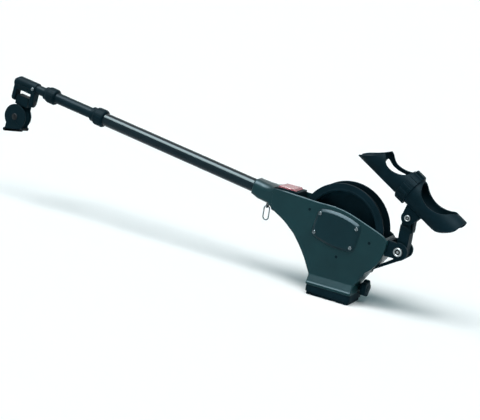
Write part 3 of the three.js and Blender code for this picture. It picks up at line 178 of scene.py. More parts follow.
# Pressed fibre of the brake pad: brown and matt, with coarse flecks
brake_fibre = finish("pressed_brake_fibre", ("#4B382B", "#6B5443"), (0.8, 0.95), grain=0.9, depth=0.1,
                     blotch=4)
# Acetal of the digit wheels, moulded: milky white and smooth
white_acetal = finish("moulded_acetal_white", ("#E4E1D8", "#EFEDE6"), (0.34, 0.42), grain=1.5, depth=0.01,
                      blotch=20)
# Ink printed on the digit wheels: black and a little raised
digit_ink = finish("printed_digit_ink", ("#101214", "#1A1C1E"), (0.5, 0.6), grain=0.5, depth=0.01, blotch=5)
# Chrome plate on the crank grip's pin: bright and cool, faintly hazed
bright_chrome = finish("chrome_plated_steel", ("#A9B5B9", "#C6D0D3"), (0.1, 0.22), grain=2, depth=0.006,
                       blotch=9, Metallic=1.0)
# Stainless steel of shaft, crank, ratchet and bolts, ground: short lines that dull the reflection
ground_stainless = finish("ground_stainless_steel", ("#7C8588", "#979FA1"), (0.26, 0.42), grain=0.6,
                          depth=0.012, blotch=14, stretch=14, Metallic=1.0)
# Zinc plate on the small screws, eye and ring: a grey mirror with a dull bloom. Its grey is drawn darker than
# bare zinc, as painted shade in what it mirrors
dark_zinc = finish("zinc_screw_painted_dark", ("#4C575B", "#6B777B"), (0.16, 0.3), grain=1, depth=0.006,
                   blotch=4, Metallic=1.0)
# Black oxide on the pulley block's pins: dark and oily. The same black fills the bolts' sockets, where it is
# painted shade
black_oxide_and_socket_shade = finish("black_oxide_steel_and_socket_shade", ("#1B1E20", "#2A2E30"), (0.35, 0.5), grain=0.5, depth=0.01,
                     blotch=5, Metallic=1.0)
# Sintered bronze of the bearing bushes: dull gold and porous
sintered_bronze = finish("sintered_bronze", ("#8F6B3A", "#B38A52"), (0.4, 0.55), grain=0.8, depth=0.03,
                         blotch=6, Metallic=1.0)
# The boom's outer tube, aluminium drawn and painted gloss black: a clear highlight that runs its whole
# length, with faint drawing lines along it
gloss_black = finish("gloss_black_painted_tube", ("#03141B", "#071B23"), (0.16, 0.22), grain=1.2,
                     depth=0.006, blotch=40, stretch=50, turn=(0, -BOOM_PITCH, 0), IOR=1.5,
                     Specular_IOR_Level=0.22, Specular_Tint=linear("#C6E0E6"))
# The two sliding tubes are anodised instead, and softer: a dim blue-black sheen
anodised_black = finish("black_anodised_tube", ("#07191F", "#0B2129"), (0.34, 0.42), grain=1.2, depth=0.006,
                        blotch=40, stretch=50, turn=(0, -BOOM_PITCH, 0), IOR=1.5, Specular_IOR_Level=0.08,
                        Specular_Tint=COOL)
# Polycarbonate of the counter's lens, moulded and dyed red: clear, and pink where light passes. Its blotches
# of a darker and a paler pink are painted reflection
red_lens = finish("clear_red_polycarbonate", ("#A85560", "#C98C94"), (0.08, 0.2), grain=5, depth=0.06,
                  blotch=7, IOR=1.585, Transmission_Weight=0.55)


# Outline helpers, in millimetres
def circle(radius, steps=48, centre=(0, 0), start=0.0, sweep=360.0):
    """A round outline, or an arc of it."""
    last = steps if sweep == 360.0 else steps - 1
    angles = [math.radians(start + sweep * i / last) for i in range(steps)]
    return [(centre[0] + radius * math.cos(a), centre[1] + radius * math.sin(a)) for a in angles]


def lobed(radius, depth, count):
    """The lobed outline of a hand knob."""
    reaches = [(angle, radius - depth * (1 - math.cos(count * angle)) / 2)
               for angle in (2 * math.pi * i / 160 for i in range(160))]
    return [(reach * math.cos(angle), reach * math.sin(angle)) for angle, reach in reaches]


def rod(radius, low, high):
    """The section of a rod, as (radius, height) from its axis outwards."""
    return [(0, low), (radius, low), (radius, high), (0, high)]


def pipe(outer, inner, low, high):
    """The section of a tube, as (radius, height)."""
    return [(inner, low), (outer, low), (outer, high), (inner, high)]


def eased(points, radius, steps=4):
    """A closed line with its corners eased by a radius, or by one radius for each corner."""
    out = []
    count = len(points)
    for i, point in enumerate(points):
        here = Vector(point)
        size = radius[i] if isinstance(radius, (list, tuple)) else radius
        if size == 0:
            out.append(tuple(here))
            continue
        before, after = Vector(points[i - 1]) - here, Vector(points[(i + 1) % count]) - here
        start = here + before.normalized() * min(size, before.length * 0.48)
        end = here + after.normalized() * min(size, after.length * 0.48)
        for k in range(steps + 1):
            t = k / steps
            out.append(tuple(start * (1 - t) ** 2 + here * 2 * t * (1 - t) + end * t ** 2))
    return out


def flowing(points):
    """A smooth line through points."""
    out, steps = [], 10
    ends = [2 * Vector(points[0]) - Vector(points[1]), *map(Vector, points),
            2 * Vector(points[-1]) - Vector(points[-2])]
    for p0, p1, p2, p3 in zip(ends, ends[1:], ends[2:], ends[3:]):
        gaps = [max((b - a).length, 1e-6) ** 0.5 for a, b in ((p0, p1), (p1, p2), (p2, p3))]
        leave = ((p1 - p0) / gaps[0] - (p2 - p0) / (gaps[0] + gaps[1]) + (p2 - p1) / gaps[1]) * gaps[1]
        reach = ((p2 - p1) / gaps[1] - (p3 - p1) / (gaps[1] + gaps[2]) + (p3 - p2) / gaps[2]) * gaps[1]
        for k in range(steps):
            t = k / steps
            out.append(tuple(p1 * (2 * t ** 3 - 3 * t ** 2 + 1) + leave * (t ** 3 - 2 * t ** 2 + t)
                             + p2 * (3 * t ** 2 - 2 * t ** 3) + reach * (t ** 3 - t ** 2)))
    out.append(tuple(points[-1]))
    return out


def inset_line(points, distance):
    """A closed outline, anticlockwise, moved inwards by a distance."""
    out = []
    for i, here in enumerate(points):
        a = (Vector(here) - Vector(points[i - 1])).normalized()
        b = (Vector(points[(i + 1) % len(points)]) - Vector(here)).normalized()
        normal = Vector((-a.y - b.y, a.x + b.x)).normalized()
        reach = distance / max(0.5, normal.dot(Vector((-a.y, a.x))))
        out.append((here[0] + normal.x * reach, here[1] + normal.y * reach))
    return out


# Mesh helpers, in millimetres
def shaped(verts, faces):
    """Points and faces as a mesh with closed poles and faces outwards."""
    mesh = bpy.data.meshes.new("shape")
    mesh.from_pydata([tuple(v) for v in verts], [], faces)
    return mended(mesh)


def mended(mesh, near=0.004):
    """The same mesh with doubles merged, slivers dropped and faces outwards."""
    work = bmesh.new()
    work.from_mesh(mesh)
    bmesh.ops.remove_doubles(work, verts=work.verts, dist=near)
    bmesh.ops.dissolve_degenerate(work, edges=work.edges, dist=near / 2)
    bmesh.ops.recalc_face_normals(work, faces=work.faces)
    work.to_mesh(mesh)
    work.free()
    return mesh


def turned(profile, corner=0.5, steps=96, place=TURN_Y):
    """A closed profile of (radius, height) turned round its axis, its corners eased."""
    ring = eased(profile, corner) if corner else list(profile)
    count = len(ring)
    verts = [(r * math.cos(2 * math.pi * i / steps), r * math.sin(2 * math.pi * i / steps), h)
             for i in range(steps) for r, h in ring]
    faces = [(i * count + j, (i + 1) % steps * count + j, (i + 1) % steps * count + (j + 1) % count,
              i * count + (j + 1) % count) for i in range(steps) for j in range(count)]
    mesh = shaped(verts, faces)
    mesh.transform(place)
    return mesh


def placed(name, data):
    """A new object in the scene."""
    thing = bpy.data.objects.new(name, data)
    bpy.context.scene.collection.objects.link(thing)
    return thing


def solid_mesh(source):
    """A scratch object's evaluated mesh, after which the object goes."""
    bpy.context.scene.collection.objects.link(source)
    bpy.context.view_layer.update()
    mesh = bpy.data.meshes.new_from_object(source.evaluated_get(bpy.context.evaluated_depsgraph_get()))
    bpy.data.objects.remove(source)
    return mesh


def plate(outline, low, high, edge, holes=(), place=None):
    """A flat outline with holes as a plate from low to high, with rounded edges."""
    curve = bpy.data.curves.new("outline", "CURVE")
    curve.dimensions = "2D"
    curve.fill_mode = "BOTH"
    curve.extrude = (high - low) / 2 - edge
    curve.bevel_depth = edge
    curve.bevel_resolution = 2
    curve.offset = -edge
    for ring in (outline, *holes):
        spline = curve.splines.new("POLY")
        spline.points.add(len(ring) - 1)
        for point, (u, v) in zip(spline.points, ring):
            point.co = (u, v, 0, 1)
        spline.use_cyclic_u = True
    mesh = solid_mesh(bpy.data.objects.new("outline", curve))
    mesh.transform(Matrix.Translation((0, 0, (low + high) / 2)))
    mended(mesh)
    if place:
        mesh.transform(place)
    return mesh


def plate_y(outline, front, back, edge, holes=()):
    """A plate drawn in X and Z that reaches from y front to y back."""
    return plate(outline, -back, -front, edge, holes, PLATE_Y)


def domed(outline, steps, place):
    """A closed skin over an outline: steps are (inset, height) pairs from its back to its front."""
    rings = [[(*p, height) for p in inset_line(outline, distance)] for distance, height in steps]
    count = len(outline)
    faces = [(i * count + j, i * count + (j + 1) % count, (i + 1) * count + (j + 1) % count,
              (i + 1) * count + j) for i in range(len(rings) - 1) for j in range(count)]
    faces += [tuple(reversed(range(count))), tuple(range((len(rings) - 1) * count, len(rings) * count))]
    mesh = shaped([v for ring in rings for v in ring], faces)
    mesh.transform(place)
    return mesh


def swept(points, radius):
    """A round wire along a closed line of points."""
    sides, count = 16, len(points)
    line = [Vector(p) for p in points]
    verts, faces = [], []
    side = Vector((0, 1, 0)) if abs((line[1] - line[0]).normalized().y) < 0.9 else Vector((1, 0, 0))
    for i, here in enumerate(line):
        ahead = (line[(i + 1) % count] - line[i - 1]).normalized()
        side = (side - ahead * side.dot(ahead)).normalized()
        up = ahead.cross(side)
        verts += [here + radius * (math.cos(a) * side + math.sin(a) * up)
                  for a in (2 * math.pi * j / sides for j in range(sides))]
    for i in range(count):
        a, b = i * sides, (i + 1) % count * sides
        faces += [(a + j, a + (j + 1) % sides, b + (j + 1) % sides, b + j) for j in range(sides)]
    return shaped(verts, faces)


def wrapped(mesh, radius):
    """A flat mesh bent round the X axis: its V runs round from the top, its W is the height above. It is
    first cut into strips, one every 5 degrees round and every 9 mm along, off the outline's points."""
    work = bmesh.new()
    work.from_mesh(mesh)
    for axis, spacing in ((1, radius * math.radians(5)), (0, 9)):
        normal = [float(i == axis) for i in range(3)]
        count = int(max(abs(v.co[axis]) for v in work.verts) / spacing)
        for i in range(-count, count + 1):
            bmesh.ops.bisect_plane(work, geom=[*work.verts, *work.edges, *work.faces], dist=0.001,
                                   plane_co=Vector(normal) * (spacing * i + 0.37), plane_no=normal)
    for v in work.verts:
        angle = v.co.y / radius
        v.co = (v.co.x, (radius + v.co.z) * math.sin(angle), (radius + v.co.z) * math.cos(angle))
    bmesh.ops.recalc_face_normals(work, faces=work.faces)
    work.to_mesh(mesh)
    work.free()
    return mesh


def moved(mesh, *place):
    """A mesh carried to its place."""
    mesh.transform(Matrix.Translation(place) if len(place) == 3 else place[0])
    return mesh


def together(*meshes):
    """Several meshes as one."""
    work = bmesh.new()
    for mesh in meshes:
        work.from_mesh(mesh)
    whole = bpy.data.meshes.new("whole")
    work.to_mesh(whole)
    work.free()
    return whole


# Faces that meet at more than this angle keep a crisp edge
CRISP = math.radians(38)


def show(name, mesh, material, body, nodes, carry=None):
    """A finished mesh as a piece that rides on a body, stands for CAD nodes and takes a finish."""
    if carry:
        mesh.transform(carry)
    mesh.transform(Matrix.Scale(MM, 4))
    mesh.materials.clear()
    mesh.materials.append(material)
    mesh.polygons.foreach_set("use_smooth", [True] * len(mesh.polygons))
    mesh.set_sharp_from_angle(angle=CRISP)
    scratch = bpy.data.objects.new(name, mesh)
    weighted = scratch.modifiers.new("flat faces stay flat", "WEIGHTED_NORMAL")
    weighted.keep_sharp = True
    piece = placed(name, solid_mesh(scratch))
    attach(piece, body)
    if nodes:
        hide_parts(*nodes)


# A CAD node's edges are rounded where its faces turn by more than this
EDGE_TURN = math.radians(28)


def softened(node, width, segments=3, prepare=None):
    """A copy of a CAD node in millimetres, with flat faces joined and sharp edges rounded. Width is a
    number, or a function of an edge's middle and its two faces' normals."""
    work = bmesh.new()
    work.from_mesh(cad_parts[node].data)
    bmesh.ops.scale(work, vec=(1 / MM,) * 3, verts=work.verts)
    bmesh.ops.remove_doubles(work, verts=work.verts, dist=0.02)
    bmesh.ops.dissolve_limit(work, angle_limit=math.radians(1), verts=work.verts, edges=work.edges)
    if prepare:
        prepare(work)
    layer = work.edges.layers.float.new("bevel_weight_edge")
    widths = {}
    for e in work.edges:
        if len(e.link_faces) == 2 and e.calc_face_angle(0) > EDGE_TURN:
            middle = (e.verts[0].co + e.verts[1].co) / 2
            widths[e] = width(middle, *(f.normal for f in e.link_faces)) if callable(width) else width
    widest = max(widths.values())
    for e, size in widths.items():
        e[layer] = size / widest
    mesh = bpy.data.meshes.new(node)
    work.to_mesh(mesh)
    work.free()
    scratch = bpy.data.objects.new(node, mesh)
    bevel = scratch.modifiers.new("rounding", "BEVEL")
    bevel.width = widest
    bevel.segments = segments
    bevel.limit_method = "WEIGHT"
    bevel.use_clamp_overlap = False
    return mended(solid_mesh(scratch), 0.01)


def rounded(node, body, material, width):
    """Shows a CAD node as it is, apart from its sharp edges."""
    show(node + "_skin", softened(node, width), material, body, (node,))


# Geometry node trees for what repeats
def repeat_tree(name, round_axis):
    """A node tree that sets a shape on every point, or count times round the Z axis."""
    tree = bpy.data.node_groups.new(name, "GeometryNodeTree")
    face = tree.interface
    face.new_socket(name="Geometry", in_out="OUTPUT", socket_type="NodeSocketGeometry")
    face.new_socket(name="Geometry", in_out="INPUT", socket_type="NodeSocketGeometry")
    face.new_socket(name="Shape", in_out="INPUT", socket_type="NodeSocketObject")
    face.new_socket(name="Material", in_out="INPUT", socket_type="NodeSocketMaterial")
    face.new_socket(name="Count", in_out="INPUT", socket_type="NodeSocketInt")
    given = put(tree, "NodeGroupInput")
    shape = put(tree, "GeometryNodeObjectInfo", {"Object": given.outputs["Shape"]})
    if round_axis:
        points = put(tree, "GeometryNodeMeshLine", {"Count": given.outputs["Count"], "Offset": (0, 0, 0)})
        step = put(tree, "ShaderNodeMath", {0: 2 * math.pi, 1: given.outputs["Count"]},
                   operation="DIVIDE")
        angle = put(tree, "ShaderNodeMath", {0: put(tree, "GeometryNodeInputIndex").outputs[0],
                                             1: step.outputs[0]}, operation="MULTIPLY")
        turn = put(tree, "ShaderNodeCombineXYZ", {"Z": angle.outputs[0]})
        spots = put(tree, "GeometryNodeInstanceOnPoints",
                    {"Points": points.outputs["Mesh"], "Instance": shape.outputs["Geometry"],
                     "Rotation": turn.outputs[0]})
    else:
        spots = put(tree, "GeometryNodeInstanceOnPoints",
                    {"Points": given.outputs["Geometry"], "Instance": shape.outputs["Geometry"]})
    real = put(tree, "GeometryNodeRealizeInstances", {"Geometry": spots.outputs["Instances"]})
    coated = put(tree, "GeometryNodeSetMaterial", {"Geometry": real.outputs["Geometry"],
                                                   "Material": given.outputs["Material"]})
    put(tree, "NodeGroupOutput", {"Geometry": coated.outputs["Geometry"]})
    return tree


round_tree = repeat_tree("repeat_round_axis", True)
place_tree = repeat_tree("set_on_places", False)


def repeated(shape, material, places=None, count=1):
    """A shape set on places, or count times round Z, as one plain mesh."""
    stamp = bpy.data.objects.new("stamp", shape)
    host_mesh = bpy.data.meshes.new("places")
    host_mesh.from_pydata(places or [(0, 0, 0)], [], [])
    host = bpy.data.objects.new("places", host_mesh)
    modifier = host.modifiers.new("repeat", "NODES")
    modifier.node_group = place_tree if places else round_tree
    values = {"Shape": stamp, "Material": material, "Count": count}
    for item in modifier.node_group.interface.items_tree:
        if item.in_out == "INPUT" and item.name in values:
            modifier[item.identifier] = values[item.name]
    mesh = solid_mesh(host)
    bpy.data.objects.remove(stamp)
    return mesh


# Frame halves: the shell's outer edges are broad and soft at the boom's socket, where the real one is
# a barrel, and turn to a thin rounded rim towards the reel. The foot's skirt flares out in a curve.
# SKIRT pairs heights with how far the skirt stands out there from the plate: a bead at its foot, an
# even slope that takes the light, and a quick curve into the plate
SKIRT = [(25.5, 10), (29, 9.9), (30.6, 8.3), (45, 1.1), (46.6, 0.35), (48, 0)]
FOOT_TOP = 47

# Where the barrel's long edges are split along X, where barrel, shoulder and lens end, and the length
# over which the barrel's rounding grows
BARREL_CUTS = range(-224, -100, 8)
BARREL_END = -176
BARREL_TAPER = 16
SHOULDER_END = -150
LENS_END = -105

# The barrel's crown stays under a plane: the plane's normal and a place on it, in X and Z
CROWN_NORMAL = (0.151, 0.988)
CROWN_PLACE = (-227, 225)

# How wide the shell's edges are rounded. The barrel's widths run from its end to its mouth
MOUTH_RADIUS = 17
ROUND_MOUTH = 0.4
ROUND_NOSE = 2.6
ROUND_SKIRT = 2.4
ROUND_FOOT = 0.9
ROUND_LENS = 3.7
ROUND_RIM = 3.0
ROUND_REST = 0.8
ROUND_BARREL_TOP = (4, 17)
ROUND_BARREL_BELOW = (3, 11)


def skirt_reach(z):
    """How far the skirt stands out from the plate at a height."""
    for (low, out), (high, inner) in zip(SKIRT, SKIRT[1:]):
        if z <= high:
            return out + (inner - out) * max(0, z - low) / (high - low)
    return 0


def cut_for_curves(work):
    """Splits a frame half's long edges, so that their rounding can change, and curves its skirt."""
    for x in BARREL_CUTS:
        for e in list(work.edges):
            low, high = sorted(e.verts, key=lambda v: v.co.x)
            if low.co.x < x - 2 and high.co.x > x + 2 and abs(low.co.y) > 18 and abs(high.co.y) > 18:
                bmesh.utils.edge_split(e, low, (x - low.co.x) / (high.co.x - low.co.x))
    outer = [f for f in work.faces
             if abs(f.normal.y) > 0.995 and abs(f.calc_center_median().y) > FRAME_HALF - 0.5]
    bmesh.ops.inset_region(work, faces=outer, thickness=4.2, use_even_offset=True, use_boundary=True)
    for z in (27, 37.8, *(level for level, _ in SKIRT[1:])):
        bmesh.ops.bisect_plane(work, geom=[*work.verts, *work.edges, *work.faces], dist=0.01,
                               plane_co=(0, 0, z), plane_no=(0, 0, 1))
    for v in work.verts:
        if abs(v.co.y) > FRAME_HALF - 0.1 and v.co.z < SKIRT[-1][0]:
            v.co.y = math.copysign(FRAME_HALF + skirt_reach(v.co.z), v.co.y)


def shell_width(middle, first, second):
    """How wide an edge of a frame half is rounded."""
    x, y, z = middle
    side = min(abs(first.y), abs(second.y)) < 0.3 and max(abs(first.y), abs(second.y)) > 0.9
    if any(math.hypot(x - u, z - v) < r for u, v, r in HOLES) or (z < FOOT_TOP and abs(y) < 27):
        return 0
    if min(first.x, second.x) < -0.9:
        across = (x - SOCKET[0]) * math.sin(BOOM_PITCH) + (z - SOCKET[2]) * math.cos(BOOM_PITCH)
        return ROUND_MOUTH if abs(y) < 1 or math.hypot(y, across) < MOUTH_RADIUS else ROUND_NOSE
    if z < FOOT_TOP:
        return ROUND_SKIRT if abs(y) > 28 and abs(first.x) + abs(second.x) > 0.8 else ROUND_FOOT
    if side and abs(y) > 18 and (x < SHOULDER_END or abs(y) > FRAME_HALF - 0.5):
        if x < BARREL_END:
            share = min(1, (BARREL_END + 4 - x) / BARREL_TAPER)
            least, most = ROUND_BARREL_TOP if max(first.z, second.z) > 0.5 else ROUND_BARREL_BELOW
            return least + (most - least) * share
        return ROUND_LENS if x < LENS_END else ROUND_RIM
    return ROUND_REST


# The near plate's three small holes, from shares of the reel's radius, and every hole whose rim stays
# sharp, with the radius round it
SMALL_HOLES = [(SHAFT[0] + REEL_RADIUS * u, SHAFT[1] + REEL_RADIUS * v)
         for u, v in ((-0.772, 0.25), (0.739, -0.146), (0.039, -0.644))]
HOLES = [(*place, radius) for places, radius in (([SHAFT], 14), (COVER_SCREWS, 5), (FRAME_SCREWS, 8),
                                                 (SMALL_HOLES, 5), ([PAWL_PIN], 7)) for place in places]
for side in ("near", "far"):
    shell = softened(f"frame_{side}_half", shell_width, segments=6, prepare=cut_for_curves)
    for v in shell.vertices:
        over = CROWN_NORMAL[0] * (v.co.x - CROWN_PLACE[0]) + CROWN_NORMAL[1] * (v.co.z - CROWN_PLACE[1])
        if v.co.x < BARREL_END and over > 0:
            v.co.z -= over
    show(f"frame_shell_{side}", shell, frame_nylon, "frame", (f"frame_{side}_half",))


# Cover plate, its screws and the frame's screws
def drive_head(radius, height, start):
    """A low screw head along Z from start, with a cross recess in its outer face."""
    wide, long = radius * 0.16, radius * 0.62
    cross = [(wide, long), (-wide, long), (-wide, wide), (-long, wide), (-long, -wide), (-wide, -wide),
             (-wide, -long), (wide, -long), (wide, -wide), (long, -wide), (long, wide), (wide, wide)]
    return together(plate(circle(radius, 64), start + height * 0.2, start + height, height * 0.28, [cross]),
                    turned(rod(radius * 0.97, start, start + height * 0.4), 0.1, 64, Matrix()))


# The cover is a bare dished plate whose broad rounded rim takes the light along its top
COVER_PITCH = math.radians(-9)
COVER_LONG = 55
COVER_SHORT = 31
COVER_BOW = 9


def on_cover(u, v):
    """A place on the cover plate, from its own long and short axis."""
    return (COVER[0] + u * math.cos(COVER_PITCH) - v * math.sin(COVER_PITCH),
            COVER[1] + u * math.sin(COVER_PITCH) + v * math.cos(COVER_PITCH))


top_edge = [(u, COVER_SHORT + COVER_BOW * (1 - (u / COVER_LONG) ** 2))
            for u in (x * 4.4 for x in range(-8, 9))]
cover_half = [(-COVER_LONG, COVER_SHORT), *top_edge, (COVER_LONG, COVER_SHORT)]
cover_line = [*cover_half, *((-u, -v) for u, v in cover_half)]
corner_sizes = [14 if abs(u) == COVER_LONG else 0 for u, v in cover_line]
cover_line = [on_cover(u, v) for u, v in reversed(eased(cover_line, corner_sizes, 5))]
COVER_STEPS = [(3, 29.3), (0.3, 29.35), (0, 29.7), (0.15, 30.2), (0.8, 30.9), (2.6, 32.3), (4.5, 33.7),
               (6, 34.7), (7, 35.15), (8.5, 35.3)]
show("cover_plate_skin", domed(cover_line, COVER_STEPS, PLATE_Y), cover_abs, "frame", ("cover_plate",))
cover_screw = together(moved(drive_head(radius=4.2, height=1.8, start=35.6), PLATE_Y),
                       turned(rod(2, -35.9, -25.3), 0.2, 32))
show("cover_screws", repeated(cover_screw, dark_zinc, [(x, 0, z) for x, z in COVER_SCREWS]), dark_zinc,
     "frame", [f"cover_screw_{i}" for i in (1, 2, 3, 4)])
frame_screw = together(moved(drive_head(radius=5, height=2.5, start=29.3), TURN_Y),
                       turned(rod(2.5, -22, 29.5), 0.2, 32))
show("frame_screws", repeated(frame_screw, ground_stainless, [(x, 0, z) for x, z in FRAME_SCREWS]),
     ground_stainless, "frame", ["frame_screw_1", "frame_screw_2"])

# Round black discs in the near plate's three holes, standing in for the shade inside them: painted shade
hole_shade_disc = turned([(0, -29.7), (3.3, -29.7), (3.3, -28.6), (2.7, -28.6), (2.7, -25), (0, -25)], 0.4, 32)
show("near_plate_plugs", repeated(hole_shade_disc, black_abs, [(x, 0, z) for x, z in SMALL_HOLES]), black_abs, "frame", ())


# Reel halves: a flat rim band, a low ridge, and a web that sinks into a dish with a soft corner
HUB_BORE = 22.3
reel_line = [(HUB_BORE, FIT / 2), (DRUM_RADIUS, FIT / 2), (DRUM_RADIUS, REEL_HALF - 5),
             (REEL_RADIUS, REEL_HALF - 5), (REEL_RADIUS, REEL_HALF), (88.6, REEL_HALF), (87.4, 24.1),
             (84, 24.1), (82.6, 15), (79.6, 8.4), (73, 5.0), (62, 4.15), (HUB_BORE, 4.15)]
reel_corners = [0.3, 1.2, 1.2, 1.4, 1.6, 0.5, 0.6, 1.0, 3, 3, 3, 3, 0.3]
for name, side in (("near", -1), ("far", 1)):
    reel_half = turned(eased([(r, side * y) for r, y in reel_line], reel_corners), 0, 160)
    show(f"reel_{name}_skin", moved(reel_half, SHAFT[0], 0, SHAFT[1]), black_abs, "reel",
         (f"reel_{name}_half",))

# Turned pieces on Y axes: node, body, material, slot, centre, eased corner, section of (radius, y). The
# places along Y are the solids'
BORE = SHAFT_RADIUS + FIT
shaft_bush_line = [(BORE, 22.2), (12, 22.2), (12, 24.7), (9, 24.7), (9, 28.7), (BORE, 28.7)]
grip_line = flowing([(11, 47.8), (15, 64.6), (11, 94), (15, 119.2), (11, 131.8)])
turned_pieces = [
    ("reel_hub", "reel", ground_stainless, "steel", SHAFT, 0.5,
     [(9.3, -14), (22, -14), (22, -8.45), (34, -8.45), (34, -4.45), (22, -4.45), (22, 7.15), (9.3, 7.15)]),
    ("hub_bush", "reel", sintered_bronze, "bronze", SHAFT, 0.2, pipe(9, BORE, -14, 7.15)),
    ("main_shaft", "crank", ground_stainless, "steel", SHAFT, 0.6, rod(SHAFT_RADIUS, -29, 60.5)),
    ("near_shaft_bush", "frame", sintered_bronze, "bronze", SHAFT, 0.2,
     [(r, -y) for r, y in shaft_bush_line]),
    ("far_shaft_bush", "frame", sintered_bronze, "bronze", SHAFT, 0.2, shaft_bush_line),
    ("brake_pad", "reel", brake_fibre, "friction_pad", SHAFT, 0.3, pipe(36, HUB_BORE, 4.45, 7.45)),
    ("pressure_plate", "crank", ground_stainless, "steel", SHAFT, 0.5,
     [(BORE, 13.05), (34, 13.05), (34, 17.475), (22, 21.9), (BORE, 21.9)]),
    ("pawl_pin", "frame", ground_stainless, "steel", PAWL_PIN, 0.5,
     [(0, 7.75), (3, 7.75), (3, 29.3), (5.5, 29.3), (5.5, 31.3), (0, 31.3)]),
    ("grip_pin", "crank", bright_chrome, "chrome", CRANK_PIN, 0.7,
     [(0, 39.2), (4, 39.2), (4, 132.1), (8, 132.1), (8, 134.2), (5, 135.1), (0, 135.1)]),
    ("crank_grip", "grip", grip_rubber, "rubber", CRANK_PIN, 0, [(4.3, 47.8), *grip_line, (4.3, 131.8)]),
    ("counter_shaft", "frame", ground_stainless, "steel", WHEEL_AXIS, 0.3, rod(2.5, -24.7, 24.7)),
    ("counter_wheel", "driven_wheel", grip_rubber, "rubber", WHEEL_AXIS, 0.4, pipe(11.4, 2.8, -21.4, -18.7)),
    ("counter_roller", "roller", grip_rubber, "rubber", ROLLER_AXIS, 0.4,
     [(0, -24.7), (2.5, -24.7), (2.5, -21.4), (13, -21.4), (13, -18.7), (0, -18.7)]),
]
for node, body, material, slot, (x, z), corner, line in turned_pieces:
    show(node + "_skin", moved(turned(line, corner), x, 0, z), material, body, (node,))

# Ratchet gear, clutch knob and the flat steel pieces of the crank
TEETH = 18
TOOTH_ROOT = 34
TOOTH_TIP = 38
teeth = []
for i in range(TEETH):
    for share, radius in ((0, TOOTH_ROOT), (0.85, TOOTH_TIP)):
        angle = (i + share) / TEETH * 2 * math.pi
        teeth.append((radius * math.cos(angle), radius * math.sin(angle)))
gear = plate_y(teeth, 7.75, 12.75, 0.4, [circle(BORE)])
show("ratchet_gear_skin", moved(gear, SHAFT[0], 0, SHAFT[1]), ground_stainless, "crank", ("ratchet_gear",))
rounded("ratchet_pawl", "pawl", ground_stainless, 0.5)
rounded("crank_arm", "crank", ground_stainless, 1.2)
knob = together(plate_y(lobed(27, 3, 8), 47.8, 63.8, 2.6, [circle(BORE)]),
                turned([(0, 61), (6.25, 61), (6.25, 63.6), (11, 63.6), (10, 64.9), (0, 65.4)], 0.4))
show("clutch_knob_skin", moved(knob, SHAFT[0], 0, SHAFT[1]), black_abs, "clutch", ("clutch_knob",))

# Line counter: housing and lens with eased edges, and three digit wheels with raised printed digits
rounded("counter_housing", "frame", black_abs, 0.8)
rounded("counter_lens", "frame", red_lens, 1.2)
DIGIT_RADIUS = 10.4
DIGIT_HEIGHT = 7.2
for place, y in (("hundreds", -9), ("tens", 0), ("units", 9)):
    wheel = turned(pipe(DIGIT_RADIUS, 2.8, y - 4, y + 4), 0.6)
    show(f"digit_wheel_{place}_skin", moved(wheel, WHEEL_AXIS[0], 0, WHEEL_AXIS[1]), white_acetal,
         f"digits_{place}", (f"digit_wheel_{place}",))
    digits = []
    for digit in range(10):
        text = bpy.data.curves.new("digit", "FONT")
        text.body = str(digit)
        text.size = DIGIT_HEIGHT
        text.align_x = "CENTER"
        text.align_y = "CENTER"
        text.extrude = 0.12
        text.resolution_u = 3
        mark = wrapped(solid_mesh(bpy.data.objects.new("digit", text)), DIGIT_RADIUS)
        digits.append(moved(mark, Matrix.Rotation(math.radians(36 * digit), 4, "X")))
    ring_of_digits = moved(together(*digits), Matrix.Rotation(-math.pi / 2, 4, "Z"))
    show(f"digits_on_{place}", moved(ring_of_digits, WHEEL_AXIS[0], y, WHEEL_AXIS[1]), digit_ink,
         f"digits_{place}", ())


# Boom: three tubes with rounded ends, guide bushes and lock collars, drawn along the boom's own axis
def on_boom(line, corner=0.4):
    """A section of (radius, distance out) turned round the boom's axis."""
    return turned([(r, -s) for r, s in line], corner, 128, TURN_X)


for node, body, material, radius, start, end in (
        ("outer_tube", "frame", gloss_black, OUTER_RADIUS, -55, OUTER_END),
        ("mid_tube", "mid_boom", anodised_black, MID_RADIUS, 60, MID_END),
        ("inner_tube", "inner_boom", anodised_black, INNER_RADIUS, 140, 688)):
    show(node + "_skin", on_boom(pipe(radius, radius - TUBE_WALL, start, end)), material, body, (node,),
         BOOM)
for node, body, radius, end in (("rear_guide_bush", "frame", MID_RADIUS, OUTER_END),
                                ("front_guide_bush", "mid_boom", INNER_RADIUS, MID_END)):
    bush_line = pipe(radius + FIT + BUSH_WALL, radius + FIT, end + FIT, end + FIT + BUSH_LENGTH)
    show(node + "_skin", on_boom(bush_line), grip_rubber, body, (node,), BOOM)


